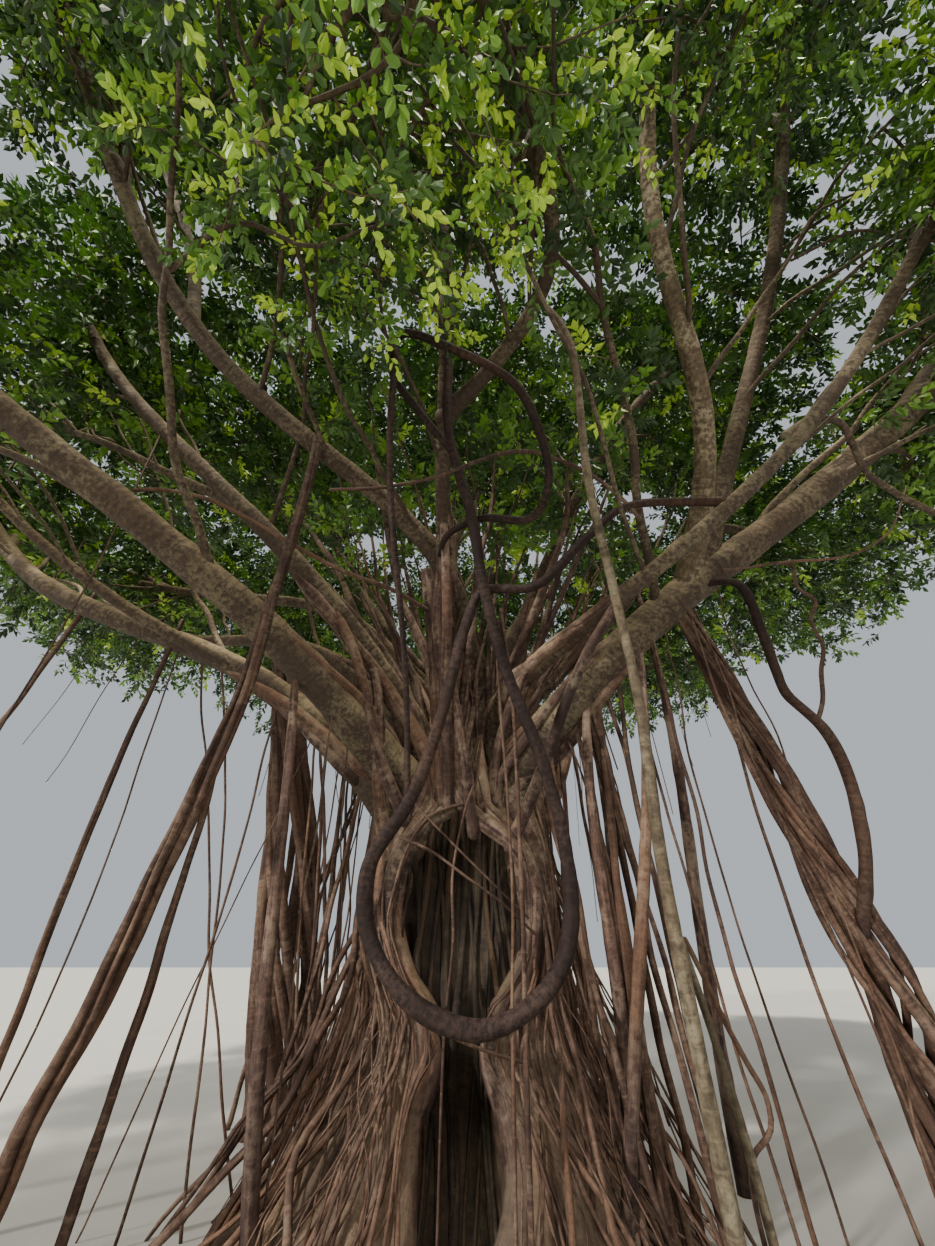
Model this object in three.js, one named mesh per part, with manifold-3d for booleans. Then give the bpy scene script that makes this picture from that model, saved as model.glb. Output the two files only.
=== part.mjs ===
import * as THREE from "three";
import { mergeVertices } from "three/addons/utils/BufferGeometryUtils.js";
import Module from "manifold-3d";

// A banyan tree in millimetres, +Z up. The origin is the middle of the flat cut under the trunk.
// The side with the hollow looks along -Y, and +X is on its right.

const wasm = await Module();
wasm.setup();

// Driving dimensions, in millimetres
const clearance = 0.45;
const groundDepth = 400;
const groundSpan = 24000;
const belowCut = 80;
const stoutGirth = 150;
const swellFall = 0.12;
const pathStep = 110;

// The trunk: a neck, a flare that falls off upwards, and a fork where it narrows
const trunkNeck = 700;
const trunkFlare = 520;
const flareFall = 520;
const forkHeight = 3300;
const forkRise = 900;
const forkDraw = 420;
const trunkWide = 1.1;
const trunkDeep = 0.98;
const coreHeight = 3950;
const coreSides = 14;
const coreRings = 7;
const stemCount = 11;
const stemGirth = [250, 165];
const stemRing = 0.98;
const stemTop = [3500, 4200];
const stemTwist = 0.16;
const runnerCount = 9;
const runnerGirth = [150, 60];
const runnerHigh = [700, 1200];
const runnerReach = [1750, 2250];
const runnerSag = 170;

// The egg-shaped hollow in the front of the trunk, and the cave between the roots under it
const hollow = { centre: [0, -1080, 1880], reach: [530, 740, 740], across: 12, down: 8 };
const cave = { centre: [20, -1150, 420], reach: [330, 800, 620], across: 10, down: 6 };

// Foliage: twigs on each stem, and sprays of three leaves on each twig
const stemEnd = 70;
const stemKnee = 0.4;
const stemPast = 0.3;
const twigCount = 8;
const twigGirth = [26, 20];
const twigFrom = 0.3;
const twigLean = [0.15, 0.75];
const twigLeanDraw = 0.3;
const twigReach = [0.9, 0.45];
const twigShares = [1, 0.78, 0.6, 0.47];
const sprayLength = 1500;
const sprayThickness = 60;
const sprayDroop = 0.2;
const sprayStations = [1, 0.5];
const spraySizes = [1, 0.8, 0.64];
const spaceMargin = 30;
const limbMargin = 150;
const sprayMargin = 60;
const goldenTurn = Math.PI * (3 - Math.sqrt(5));

// Three leaves on one short stalk make a flat spray. Its outline goes round the hub where
// they meet: the stalk's root, then each leaf's widest place and tip, and the notch between two.
// Each place is an angle from the middle leaf and a distance from the hub as a share of the length.
const sprayOutline = [
  [180, 0.34], [242, 0.25], [294, 0.66], [324, 0.23], [344, 0.43],
  [0, 0.7], [16, 0.43], [36, 0.23], [66, 0.66], [118, 0.25],
];

const barkFinish = { color: 0x7d6248, roughness: 0.85, metalness: 0 };
const rootFinish = { color: 0x6e4a38, roughness: 0.8, metalness: 0 };
const paleFinish = { color: 0x8c8069, roughness: 0.85, metalness: 0 };
const leafFinish = { color: 0x4d7a2c, roughness: 0.55, metalness: 0 };

// Every limb runs from foot to tip, or grows on another limb at a share of its length.
// Bow is how far its middle stands off the straight line, and ess bends its first half one way
// and its second half the other way.
// Girth is its radius at foot and tip, and swell widens its foot by that share.
const boughs = {
  left_main: {
    foot: [-450, -400, 2750], tip: [-4600, -3400, 5800],
    bow: [200, -300, 0], ess: [0, 100, 100], girth: [190, 105], swell: 0.3,
  },
  left_low: {
    foot: [-550, -300, 2450], tip: [-5800, -1050, 5800],
    bow: [100, -450, 100], ess: [150, 0, 200], girth: [138, 85], swell: 0.25,
  },
  right_main: {
    foot: [350, -350, 2800], tip: [5100, -2550, 6550],
    bow: [-150, -200, 50], ess: [-100, -150, 0], girth: [190, 140], swell: 0.25,
  },
  back_left: {
    foot: [-350, 400, 3300], tip: [-3700, 3100, 6300],
    bow: [0, 0, 450], ess: [0, 100, 100], girth: [170, 90], swell: 0.25,
  },
  back_right: {
    foot: [350, 350, 3200], tip: [3700, 3200, 6300],
    bow: [0, 0, 400], ess: [100, 0, -100], girth: [180, 90], swell: 0.25,
  },
  back: {
    foot: [0, 450, 3500], tip: [100, 4300, 6700],
    bow: [150, 0, 450], ess: [-100, 0, 100], girth: [160, 85], swell: 0.25,
  },
  left_rising: {
    foot: [-400, -350, 3350], tip: [-4350, -2550, 7450],
    bow: [0, -500, 0], ess: [150, 0, 0], girth: [120, 64], swell: 0.25,
  },
  overhead_left: {
    foot: [100, -250, 3800], tip: [-3050, -4300, 7250],
    bow: [250, 50, 50], ess: [350, -50, 200], girth: [115, 70], swell: 0.25,
  },
  overhead_center: {
    foot: [0, -300, 3950], tip: [-350, -3950, 8350],
    bow: [0, -500, -350], ess: [-100, 200, 50], girth: [90, 55], swell: 0.2,
  },
  right_front: {
    foot: [300, -500, 3700], tip: [4100, -3950, 6800],
    bow: [50, -200, -600], ess: [-150, -150, -50], girth: [80, 56], swell: 0.2,
  },
  right_rising: {
    foot: [250, 0, 4000], tip: [2800, -1700, 8250],
    bow: [-150, 50, 150], ess: [50, 200, 50], girth: [110, 62], swell: 0.2,
  },
  right_back: {
    foot: [350, 150, 3800], tip: [4700, 300, 7200],
    bow: [100, -300, 450], ess: [0, 150, -200], girth: [110, 65], swell: 0.2,
  },
  left_back_low: {
    foot: [-400, 150, 3450], tip: [-5500, 500, 5700],
    bow: [0, 0, 550], ess: [0, -100, 250], girth: [115, 58], swell: 0.2,
  },
  left_back_high: {
    foot: [-300, 250, 3900], tip: [-5300, 900, 6600],
    bow: [200, 100, 800], ess: [50, 0, 200], girth: [110, 62], swell: 0.2,
  },
  top: {
    foot: [0, 100, 3900], tip: [200, 700, 8500],
    bow: [-250, 150, 0], ess: [150, 0, 0], girth: [140, 75], swell: 0.2,
  },
  top_left: {
    foot: [-150, 150, 3900], tip: [-2400, 900, 8000],
    bow: [-200, 150, 0], ess: [100, 100, 0], girth: [110, 65], swell: 0.2,
  },
  overhead_right: {
    on: "right_main", at: 0.43, tip: [1650, -4550, 7850],
    bow: [100, -150, -50], ess: [150, -50, 50], girth: [105, 66], swell: 0.3,
  },
  right_inner: {
    on: "right_main", at: 0.47, tip: [3550, -4050, 8950],
    bow: [200, 200, 50], ess: [-50, 0, 0], girth: [98, 66], swell: 0.3,
  },
  overhead_left_fork: {
    on: "overhead_left", at: 0.76, tip: [-3500, -3900, 9100],
    bow: [100, 0, 50], ess: [0, 50, 50], girth: [55, 38], swell: 0.3,
  },
  front: {
    on: "overhead_center", at: 0.5, tip: [350, -4650, 6050],
    bow: [620, 0, 250], ess: [0, 0, 0], girth: [75, 50], swell: 0.3,
  },
  left_side: {
    on: "left_low", at: 0.36, tip: [-4900, -2450, 5500],
    bow: [-100, -100, -200], ess: [0, 50, 0], girth: [66, 38], swell: 0.3,
  },
  left_rising_side: {
    on: "left_rising", at: 0.52, tip: [-4950, -1900, 6750],
    bow: [0, 0, 50], ess: [0, 50, 0], girth: [55, 34], swell: 0.3,
  },
};

// Aerial roots pass through a few places in turn, from where they leave the tree to where they end.
const vineRoute = [
  [-180, -3450, 7300], [-130, -3100, 6050], [-110, -2800, 5250], [90, -2450, 4550],
  [190, -2150, 4020], [365, -1850, 3420], [640, -1620, 2700], [760, -1500, 2100],
  [715, -1450, 1580], [500, -1450, 1300], [110, -1450, 1150], [-340, -1450, 1310],
  [-620, -1460, 1660], [-640, -1530, 2040], [-370, -1600, 2480], [-150, -1780, 3080],
  [30, -1980, 3760], [180, -2050, 4080], [620, -2130, 4080], [1080, -2300, 4480],
  [1500, -2330, 4850],
];
const hoopRoute = [
  [-90, -2720, 5120], [-380, -2930, 5400], [-610, -3150, 5680], [-520, -3320, 5900],
  [-80, -3320, 5650], [420, -3200, 5350], [620, -3000, 5050], [720, -2700, 4720],
  [600, -2420, 4600], [180, -2380, 4640], [-120, -2080, 4760],
];
const paleRoute = [
  [840, -3480, 5400], [930, -3000, 4320], [1110, -2560, 3660],
  [1190, -2350, 2920], [1170, -2200, 2000], [1190, -2090, 1150], [1240, -1920, -60],
];
const serpentRoute = [
  [2560, -1850, 4330], [2760, -1620, 3920], [2830, -1500, 3620],
  [2880, -1440, 3420], [3100, -1400, 3100], [3190, -1320, 2750], [3100, -1240, 2150],
  [3000, -1000, 1650],
];

// The long hanging root is one vine in four lengths: down from the crown, round under the hollow,
// up again and over to a bough. From and to are shares of its length.
const vineParts = {
  root_vine_upper: { from: 0, to: 0.34, girth: [36, 47] },
  root_loop_right: { from: 0.34, to: 0.545, girth: [47, 58] },
  root_loop_left: { from: 0.545, to: 0.8, girth: [58, 42] },
  root_loop_arm: { from: 0.8, to: 1, girth: [42, 37] },
};
const hoopParts = {
  root_hoop_left: { from: 0, to: 0.5, girth: [32, 36] },
  root_hoop_right: { from: 0.5, to: 1, girth: [36, 30] },
};

// Props run from a bough down to the ground, as one strand or several grown together.
// Spread is how far the strands stand from the middle at the top and at the foot.
const props = {
  prop_right: {
    top: [2150, -1480, 4330], foot: [3480, -600], bow: [80, 50, 100],
    strands: 4, girth: [80, 115], spread: [75, 220], seed: 31, sides: 5,
  },
  prop_back_left: {
    top: [-2400, 250, 5000], foot: [-1750, 1600], bow: [0, 0, 0],
    strands: 4, girth: [130, 175], spread: [160, 270], seed: 41, sides: 5,
  },
  prop_left: {
    top: [-1420, -2470, 5680], foot: [-2640, -1350], bow: [260, 40, 0],
    strands: 2, girth: [38, 62], spread: [28, 55], seed: 51, sides: 5,
  },
  prop_left_side: {
    on: "prop_left", at: 0.48, foot: [-2250, -1050], bow: [60, 0, 0],
    strands: 1, girth: [27, 38], spread: [0, 0], seed: 52, sides: 4,
  },
  prop_far_left: {
    top: [-2950, -1180, 4400], foot: [-3350, -500], bow: [-80, 0, 0],
    strands: 1, girth: [28, 38], spread: [0, 0], seed: 53, sides: 5,
  },
  prop_outer_left: {
    top: [-4050, -1150, 4800], foot: [-4950, -700], bow: [-60, 0, 0],
    strands: 1, girth: [28, 38], spread: [0, 0], seed: 54, sides: 4,
  },
  prop_mid_right: {
    top: [1300, -1100, 3700], foot: [1250, -800], bow: [-30, 0, 0],
    strands: 1, girth: [32, 46], spread: [0, 0], seed: 55, sides: 5,
  },
};
const palePropGirth = [26, 43];
const paleShoot = { foot: [1190, -2130, 1700], tip: [1480, -1760, -belowCut], bow: [60, 40, 0] };
const paleShootGirth = [20, 24];
const serpentGirth = [38, 50];
const hangingRoot = {
  foot: [-560, -3250, 5780], tip: [-395, -1592, 2435], bow: [-60, 60, 60], ess: [-30, -60, -60],
};
const hangingGirth = [28, 24];

const masses = {
  front_left: { bough: "left_main", centre: [-5650, -4100, 6300], reach: [2400, 2350, 1900] },
  left: { bough: "left_low", centre: [-6750, -900, 6600], reach: [2300, 2450, 1950] },
  left_back: { bough: "left_back_high", centre: [-5900, 2000, 7500], reach: [2700, 2600, 2300] },
  left_upper: { bough: "left_rising", centre: [-4600, -1850, 8550], reach: [2700, 2650, 2100] },
  overhead_left: { bough: "overhead_left", centre: [-3150, -5700, 7900], reach: [2350, 2350, 1850] },
  high_left: { bough: "overhead_left_fork", centre: [-2950, -3400, 10000], reach: [2400, 2400, 1600] },
  overhead: { bough: "overhead_center", centre: [-100, -4150, 9500], reach: [2400, 2450, 1700] },
  front_low: { bough: "front", centre: [-450, -4950, 6100], reach: [2100, 1950, 1800] },
  overhead_right: { bough: "overhead_right", centre: [2000, -5700, 8100], reach: [2350, 2350, 1850] },
  high_right: { bough: "right_inner", centre: [3200, -3750, 10050], reach: [2550, 2400, 1550] },
  front_right: { bough: "right_front", centre: [5100, -4500, 7000], reach: [2300, 2350, 1900] },
  right: { bough: "right_main", centre: [6650, -1850, 6900], reach: [2350, 2350, 1950] },
  right_upper: { bough: "right_rising", centre: [3500, -1000, 9550], reach: [2950, 2850, 2050] },
  right_back: { bough: "right_back", centre: [5750, 1500, 7900], reach: [2750, 2600, 2400] },
  back_right: { bough: "back_right", centre: [3850, 3850, 7700], reach: [2950, 2800, 2550] },
  back: { bough: "back", centre: [250, 5050, 8000], reach: [3150, 2600, 2700] },
  back_left: { bough: "back_left", centre: [-3650, 3950, 7650], reach: [2850, 2700, 2550] },
  top: { bough: "top", centre: [350, 450, 9800], reach: [3200, 3350, 2050] },
  top_left: { bough: "top_left", centre: [-3100, 300, 9400], reach: [2850, 3000, 2150] },
};

// Seeded draw between 0 and 1: the same seed and step always give the same number.
function draw(seed, step) {
  const wave = Math.sin(seed * 12.9898 + step * 78.233) * 43758.5453;
  return wave - Math.floor(wave);
}

function vector(list) {
  return new THREE.Vector3(list[0], list[1], list[2]);
}

function mix(a, b, t) {
  return a + (b - a) * t;
}

function smooth(t) {
  const clamped = Math.min(Math.max(t, 0), 1);
  return clamped * clamped * (3 - 2 * clamped);
}

// The straight line from foot to tip, bent by one wave (bow) and by two half waves (ess).
class BentLine extends THREE.Curve {
  constructor({ foot, tip, bow = [0, 0, 0], ess = [0, 0, 0] }) {
    super();
    this.foot = vector(foot);
    this.tip = vector(tip);
    this.bow = vector(bow);
    this.ess = vector(ess);
  }

  getPoint(t, target = new THREE.Vector3()) {
    target.lerpVectors(this.foot, this.tip, t);
    target.addScaledVector(this.bow, Math.sin(Math.PI * t));
    return target.addScaledVector(this.ess, Math.sin(2 * Math.PI * t));
  }
}

function solidFrom(positions, faces) {
  const mesh = new wasm.Mesh({
    numProp: 3,
    vertProperties: new Float32Array(positions),
    triVerts: new Uint32Array(faces),
  });
  return new wasm.Manifold(mesh);
}

function solidOf(geometry) {
  const bare = geometry.clone();
  bare.deleteAttribute("normal");
  bare.deleteAttribute("uv");
  const merged = mergeVertices(bare, 1e-3);
  return solidFrom(merged.attributes.position.array, merged.index.array);
}

// A closed body through a row of rings that all have the same number of points.
function loft(ringList) {
  const sides = ringList[0].length;
  const faces = [];
  for (let ring = 0; ring < ringList.length - 1; ring += 1) {
    for (let side = 0; side < sides; side += 1) {
      const a = ring * sides + side;
      const b = ring * sides + ((side + 1) % sides);
      faces.push(a, b, b + sides, a, b + sides, a + sides);
    }
  }
  const last = (ringList.length - 1) * sides;
  for (let side = 1; side < sides - 1; side += 1) {
    faces.push(0, side + 1, side, last, last + side, last + side + 1);
  }
  return solidFrom(ringList.flat().flatMap((point) => point.toArray()), faces);
}

// A round limb along a curve, from one share of its length to another. Grow makes it that much
// larger on all sides, for cutting a neighbour clear of it.
function sweep({ curve, girth, from = 0, to = 1, sides, rings, swell = 0, grow = 0 }) {
  const fine = rings * 4;
  const frames = curve.computeFrenetFrames(fine, false);
  const extra = grow / Math.cos(Math.PI / sides);
  const ringList = [];
  for (let ring = 0; ring <= rings; ring += 1) {
    const t = ring / rings;
    const share = mix(from, to, t);
    const frame = Math.round(share * fine);
    const centre = curve.getPointAt(share);
    if (ring === 0) centre.addScaledVector(frames.tangents[frame], -grow);
    if (ring === rings) centre.addScaledVector(frames.tangents[frame], grow);
    const radius = mix(girth[0], girth[1], t) * (1 + swell * Math.exp(-t / swellFall)) + extra;
    const corners = [];
    for (let side = 0; side < sides; side += 1) {
      const turn = (side / sides) * 2 * Math.PI;
      const corner = centre.clone().addScaledVector(frames.normals[frame], radius * Math.cos(turn));
      corners.push(corner.addScaledVector(frames.binormals[frame], radius * Math.sin(turn)));
    }
    ringList.push(corners);
  }
  return loft(ringList);
}

function ellipsoid({ centre, reach, across, down }) {
  const geometry = new THREE.SphereGeometry(1, across, down);
  geometry.scale(...reach);
  geometry.translate(...centre);
  return solidOf(geometry);
}

function largest(solid) {
  const bodies = solid.decompose();
  return bodies.reduce((best, body) => (body.volume() > best.volume() ? body : best));
}

function joined(solids) {
  return solids.reduce((sum, solid) => sum.add(solid));
}

function trunkRadius(height) {
  const flare = trunkFlare * Math.exp(-height / flareFall);
  return trunkNeck + flare - forkDraw * smooth((height - forkHeight) / forkRise);
}

function trunkPoint(radius, turn, height) {
  return new THREE.Vector3(radius * trunkWide * Math.cos(turn), radius * trunkDeep * Math.sin(turn), height);
}

// One of the stems that have grown together: it follows the trunk's profile and winds a little.
class FusedStem extends THREE.Curve {
  constructor(angle, twist, top) {
    super();
    this.angle = angle;
    this.twist = twist;
    this.top = top;
  }

  getPoint(t, target = new THREE.Vector3()) {
    const height = mix(-belowCut, this.top, t);
    const radius = trunkRadius(Math.max(height, 0)) * stemRing;
    return target.copy(trunkPoint(radius, this.angle + this.twist * Math.sin(1.5 * Math.PI * t), height));
  }
}

function fusedStems() {
  return Array.from({ length: stemCount }, (_, index) => {
    const angle = ((index + 0.35 * draw(3, index)) / stemCount) * 2 * Math.PI;
    const twist = stemTwist * (2 * draw(5, index) - 1);
    return new FusedStem(angle, twist, mix(stemTop[0], stemTop[1], draw(7, index)));
  });
}

// Roots that run off the foot of the trunk and down to the ground.
function runnerRoots() {
  return Array.from({ length: runnerCount }, (_, index) => {
    const angle = ((index + 0.6 * draw(11, index)) / runnerCount) * 2 * Math.PI;
    const drift = angle + 0.35 * (draw(19, index) - 0.5);
    const high = mix(runnerHigh[0], runnerHigh[1], draw(17, index));
    const near = trunkRadius(high) * 0.8;
    const out = mix(runnerReach[0], runnerReach[1], draw(13, index));
    return new BentLine({
      foot: [near * Math.cos(angle), near * Math.sin(angle), high],
      tip: [out * Math.cos(drift), out * Math.sin(drift), -belowCut],
      bow: [0, 0, -runnerSag],
    });
  });
}

function trunkCore(grow) {
  const ringList = [];
  for (let ring = 0; ring <= coreRings; ring += 1) {
    const height = mix(-belowCut - grow, coreHeight + grow, ring / coreRings);
    const radius = trunkRadius(Math.max(height, 0)) + grow * 1.1;
    ringList.push(Array.from({ length: coreSides }, (_, side) => (
      trunkPoint(radius, (side / coreSides) * 2 * Math.PI, height))));
  }
  return loft(ringList);
}

function trunkBody(grow) {
  return joined([
    trunkCore(grow),
    ...fusedStems().map((curve) => sweep({ curve, girth: stemGirth, sides: 5, rings: 6, grow })),
    ...runnerRoots().map((curve) => sweep({ curve, girth: runnerGirth, sides: 4, rings: 4, grow })),
  ]);
}

const groundBox = new THREE.BoxGeometry(groundSpan, groundSpan, groundDepth);
groundBox.translate(0, 0, -groundDepth / 2);
const ground = solidOf(groundBox);

const tree = new THREE.Group();

function addNode(name, solid, finish) {
  const { vertProperties, triVerts } = solid.getMesh();
  const geometry = new THREE.BufferGeometry();
  geometry.setAttribute("position", new THREE.BufferAttribute(vertProperties, 3));
  geometry.setIndex(new THREE.BufferAttribute(triVerts, 1));
  geometry.computeVertexNormals();
  const mesh = new THREE.Mesh(geometry, new THREE.MeshStandardMaterial(finish));
  mesh.name = name;
  tree.add(mesh);
}

const trunk = trunkBody(0).subtract(ellipsoid(hollow)).subtract(ellipsoid(cave)).subtract(ground);
addNode("trunk", largest(trunk), barkFinish);

// What stands already: each body a little grown, and the line it follows.
const placed = [{ grown: trunkBody(clearance), path: [] }];

// Places along a limb with its radius there, for keeping leaves off it.
function limbPath({ curve, girth, from = 0, to = 1 }) {
  const steps = Math.ceil((curve.getLength() * (to - from)) / pathStep);
  return Array.from({ length: steps + 1 }, (_, step) => ({
    point: curve.getPointAt(mix(from, to, step / steps)),
    radius: mix(girth[0], girth[1], step / steps),
  }));
}

// A limb loses what the ground and the limbs before it fill, and keeps its largest body.
function addLimb(name, finish, strands) {
  let rest = joined(strands.map((strand) => sweep(strand))).subtract(ground);
  for (const neighbour of placed) rest = rest.subtract(neighbour.grown);
  addNode(name, largest(rest), finish);
  placed.push({
    grown: joined(strands.map((strand) => sweep({ ...strand, grow: clearance }))),
    path: strands.flatMap(limbPath),
  });
}

const boughCurves = {};

function boughPlace(name, share) {
  return boughCurves[name].getPointAt(share).toArray();
}

for (const [name, bough] of Object.entries(boughs)) {
  const curve = new BentLine({ ...bough, foot: bough.on ? boughPlace(bough.on, bough.at) : bough.foot });
  boughCurves[name] = curve;
  const sides = bough.girth[0] > stoutGirth ? 7 : 5;
  const rings = Math.round(curve.getLength() / 850) + 2;
  addLimb(`bough_${name}`, barkFinish, [{ curve, girth: bough.girth, swell: bough.swell, sides, rings }]);
}

function route(points) {
  return new THREE.CatmullRomCurve3(points.map(vector), false, "centripetal");
}

function addLengths(curve, parts, sides, step) {
  for (const [name, part] of Object.entries(parts)) {
    const rings = Math.round(((part.to - part.from) * curve.getLength()) / step);
    addLimb(name, rootFinish, [{ curve, ...part, sides, rings }]);
  }
}

addLengths(route([...vineRoute, boughPlace("right_front", 0.5)]), vineParts, 5, 280);
addLengths(route([...hoopRoute, boughPlace("overhead_left", 0.27)]), hoopParts, 4, 260);
addLimb("root_hanging_left", rootFinish, [
  { curve: new BentLine(hangingRoot), girth: hangingGirth, sides: 4, rings: 6 },
]);
addLimb("prop_pale", paleFinish, [
  { curve: route([boughPlace("front", 0.5), ...paleRoute]), girth: palePropGirth, sides: 6, rings: 10 },
  { curve: new BentLine(paleShoot), girth: paleShootGirth, sides: 4, rings: 5 },
]);

// The strands of a prop stand in a ring round its middle, and wind a little as they spread.
function propStrands({ top, foot, bow, strands, girth, spread, seed, sides }) {
  return Array.from({ length: strands }, (_, index) => {
    const turn = ((index + 0.5 * draw(seed, index)) / strands) * 2 * Math.PI;
    const side = [Math.cos(turn), Math.sin(turn)];
    const wide = spread[1] * mix(0.7, 1.3, draw(seed + 1, index));
    const twist = spread[0] * mix(-0.6, 0.6, draw(seed + 2, index));
    const curve = new BentLine({
      foot: [top[0] + spread[0] * side[0], top[1] + spread[0] * side[1], top[2]],
      tip: [foot[0] + wide * side[0], foot[1] + wide * side[1], -belowCut],
      bow,
      ess: [twist * side[1], -twist * side[0], 0],
    });
    return { curve, girth, sides, rings: 4 };
  });
}

const strandsOf = {};
for (const [name, prop] of Object.entries(props)) {
  const top = prop.on ? strandsOf[prop.on][0].curve.getPointAt(prop.at).toArray() : prop.top;
  strandsOf[name] = propStrands({ ...prop, top });
  addLimb(name, rootFinish, strandsOf[name]);
}

const serpentCurve = route([boughPlace("right_main", 0.45), ...serpentRoute]);
addLimb("root_serpent", rootFinish, [
  { curve: serpentCurve, girth: serpentGirth, sides: 5, rings: 11 },
]);

const limbPlaces = placed.flatMap((limb) => limb.path);

function clearOfLimbs(point, margin) {
  return limbPlaces.every((place) => point.distanceTo(place.point) > place.radius + margin);
}

// A mass keeps inside its own ellipsoid and on its own side of the plane to each other mass.
function insideSpace(point, mass) {
  const offset = point.clone().sub(mass.middle);
  const [a, b, c] = mass.reach;
  if ((offset.x / a) ** 2 + (offset.y / b) ** 2 + (offset.z / c) ** 2 > 1) return false;
  return mass.borders.every(({ axis, limit }) => offset.dot(axis) < limit);
}

function meanReach(mass) {
  return (mass.reach[0] + mass.reach[1] + mass.reach[2]) / 3;
}

for (const mass of Object.values(masses)) {
  mass.middle = vector(mass.centre);
}
for (const mass of Object.values(masses)) {
  mass.borders = [];
  for (const other of Object.values(masses)) {
    if (other === mass) continue;
    const axis = other.middle.clone().sub(mass.middle);
    const share = meanReach(mass) / (meanReach(mass) + meanReach(other));
    const limit = axis.length() * share - spaceMargin;
    mass.borders.push({ axis: axis.normalize(), limit });
  }
}

// A spray seen as its outline, bent down away from its hub, and a point above and under the hub.
function sprayCorners(root, along, up, size) {
  const length = sprayLength * size;
  const side = new THREE.Vector3().crossVectors(along, up).normalize();
  const face = new THREE.Vector3().crossVectors(side, along).normalize();
  const hub = root.clone().addScaledVector(along, length * sprayOutline[0][1]);
  const outline = sprayOutline.map(([angle, share]) => {
    const turn = THREE.MathUtils.degToRad(angle);
    const droop = -sprayDroop * length * (share - sprayOutline[0][1]);
    const corner = hub.clone().addScaledVector(along, Math.cos(turn) * share * length);
    return corner.addScaledVector(side, -Math.sin(turn) * share * length).addScaledVector(face, droop);
  });
  const top = hub.clone().addScaledVector(face, sprayThickness / 2);
  const under = hub.clone().addScaledVector(face, -sprayThickness / 2);
  return { outline, top, under };
}

function spraySolid({ outline, top, under }) {
  const count = outline.length;
  const positions = [...outline, top, under].flatMap((corner) => corner.toArray());
  const faces = outline.flatMap((_, index) => {
    const next = (index + 1) % count;
    return [count, index, next, count + 1, next, index];
  });
  return solidFrom(positions, faces);
}

// Places spread over a spray, leaving out its root, where it joins its twig.
function sprayPlaces({ outline, top }) {
  return [top, ...outline.slice(1), ...outline.slice(1).map((corner) => corner.clone().lerp(top, 0.45))];
}

function sprayFits(spray, mass, taken) {
  if (!spray.outline.every((corner) => insideSpace(corner, mass))) return false;
  const places = sprayPlaces(spray);
  if (!places.every((place) => clearOfLimbs(place, limbMargin))) return false;
  return places.every((place) => taken.every((other) => place.distanceTo(other) > sprayMargin));
}

function twigFits(line, mass) {
  for (let step = 1; step <= 8; step += 1) {
    const point = line.getPoint(step / 8);
    if (!insideSpace(point, mass) || !clearOfLimbs(point, limbMargin)) return false;
  }
  return true;
}

// The stem goes on from the bough's tip, bends towards the middle of the space and passes it.
function massStem(mass) {
  const curve = boughCurves[mass.bough];
  const heading = curve.getTangentAt(1);
  const start = curve.getPointAt(1).addScaledVector(heading, clearance);
  const aim = mass.middle.clone().sub(start);
  const knee = start.clone().addScaledVector(heading, aim.length() * stemKnee);
  aim.normalize();
  const end = mass.middle.clone().addScaledVector(aim, meanReach(mass) * stemPast);
  return { stem: new THREE.QuadraticBezierCurve3(start, knee, end), aim };
}

// A twig is shortened a few times until it fits, or left out.
function fittingTwig(root, heading, longest, mass) {
  for (const share of twigShares) {
    const tip = root.clone().addScaledVector(heading, longest * share);
    const line = new THREE.LineCurve3(root, tip);
    if (twigFits(line, mass)) return line;
  }
  return null;
}

// Twigs leave the stem one golden turn apart, lean outwards and on, and carry sprays of leaves.
function growMass(mass, seed) {
  const { stem, aim } = massStem(mass);
  const girth = [boughs[mass.bough].girth[1], stemEnd];
  const pieces = [sweep({ curve: stem, girth, sides: 4, rings: 2 })];
  const across = new THREE.Vector3(0, 0, 1).cross(aim).normalize();
  const over = new THREE.Vector3().crossVectors(aim, across);
  const flat = new THREE.Vector3(0, 0, 1).addScaledVector(aim, 0.2).normalize();
  const taken = [];
  for (let index = 0; index < twigCount; index += 1) {
    const share = mix(twigFrom, 1, index / (twigCount - 1));
    const turn = index * goldenTurn + 2 * Math.PI * draw(seed, 1);
    const lean = mix(twigLean[0], twigLean[1], share) + twigLeanDraw * (draw(seed, index + 20) - 0.5);
    const heading = across.clone().multiplyScalar(Math.cos(turn)).addScaledVector(over, Math.sin(turn));
    heading.multiplyScalar(Math.cos(lean)).addScaledVector(aim, Math.sin(lean));
    const longest = meanReach(mass) * mix(twigReach[0], twigReach[1], share);
    const twig = fittingTwig(stem.getPointAt(share), heading, longest, mass);
    if (!twig) continue;
    pieces.push(sweep({ curve: twig, girth: twigGirth, sides: 3, rings: 1 }));
    sprayStations.forEach((station, place) => {
      const root = twig.getPoint(Math.min(station, 0.985));
      const sideways = index % 2 === 0 ? 1 : -1;
      const spread = place === 0 ? 0.1 : sideways * (0.8 + 0.4 * draw(seed, index * 5 + place));
      const along = heading.clone().applyAxisAngle(flat, spread);
      along.z += 0.25 * (draw(seed, index * 7 + place) - 0.6);
      along.normalize();
      const sizes = spraySizes.map((size) => sprayCorners(root, along, flat, size));
      const spray = sizes.find((choice) => sprayFits(choice, mass, taken));
      if (!spray) return;
      taken.push(...sprayPlaces(spray));
      pieces.push(spraySolid(spray));
    });
  }
  return largest(joined(pieces));
}

Object.entries(masses).forEach(([name, mass], index) => {
  addNode(`foliage_${name}`, growMass(mass, index + 1), leafFinish);
});

export default tree;
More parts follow.
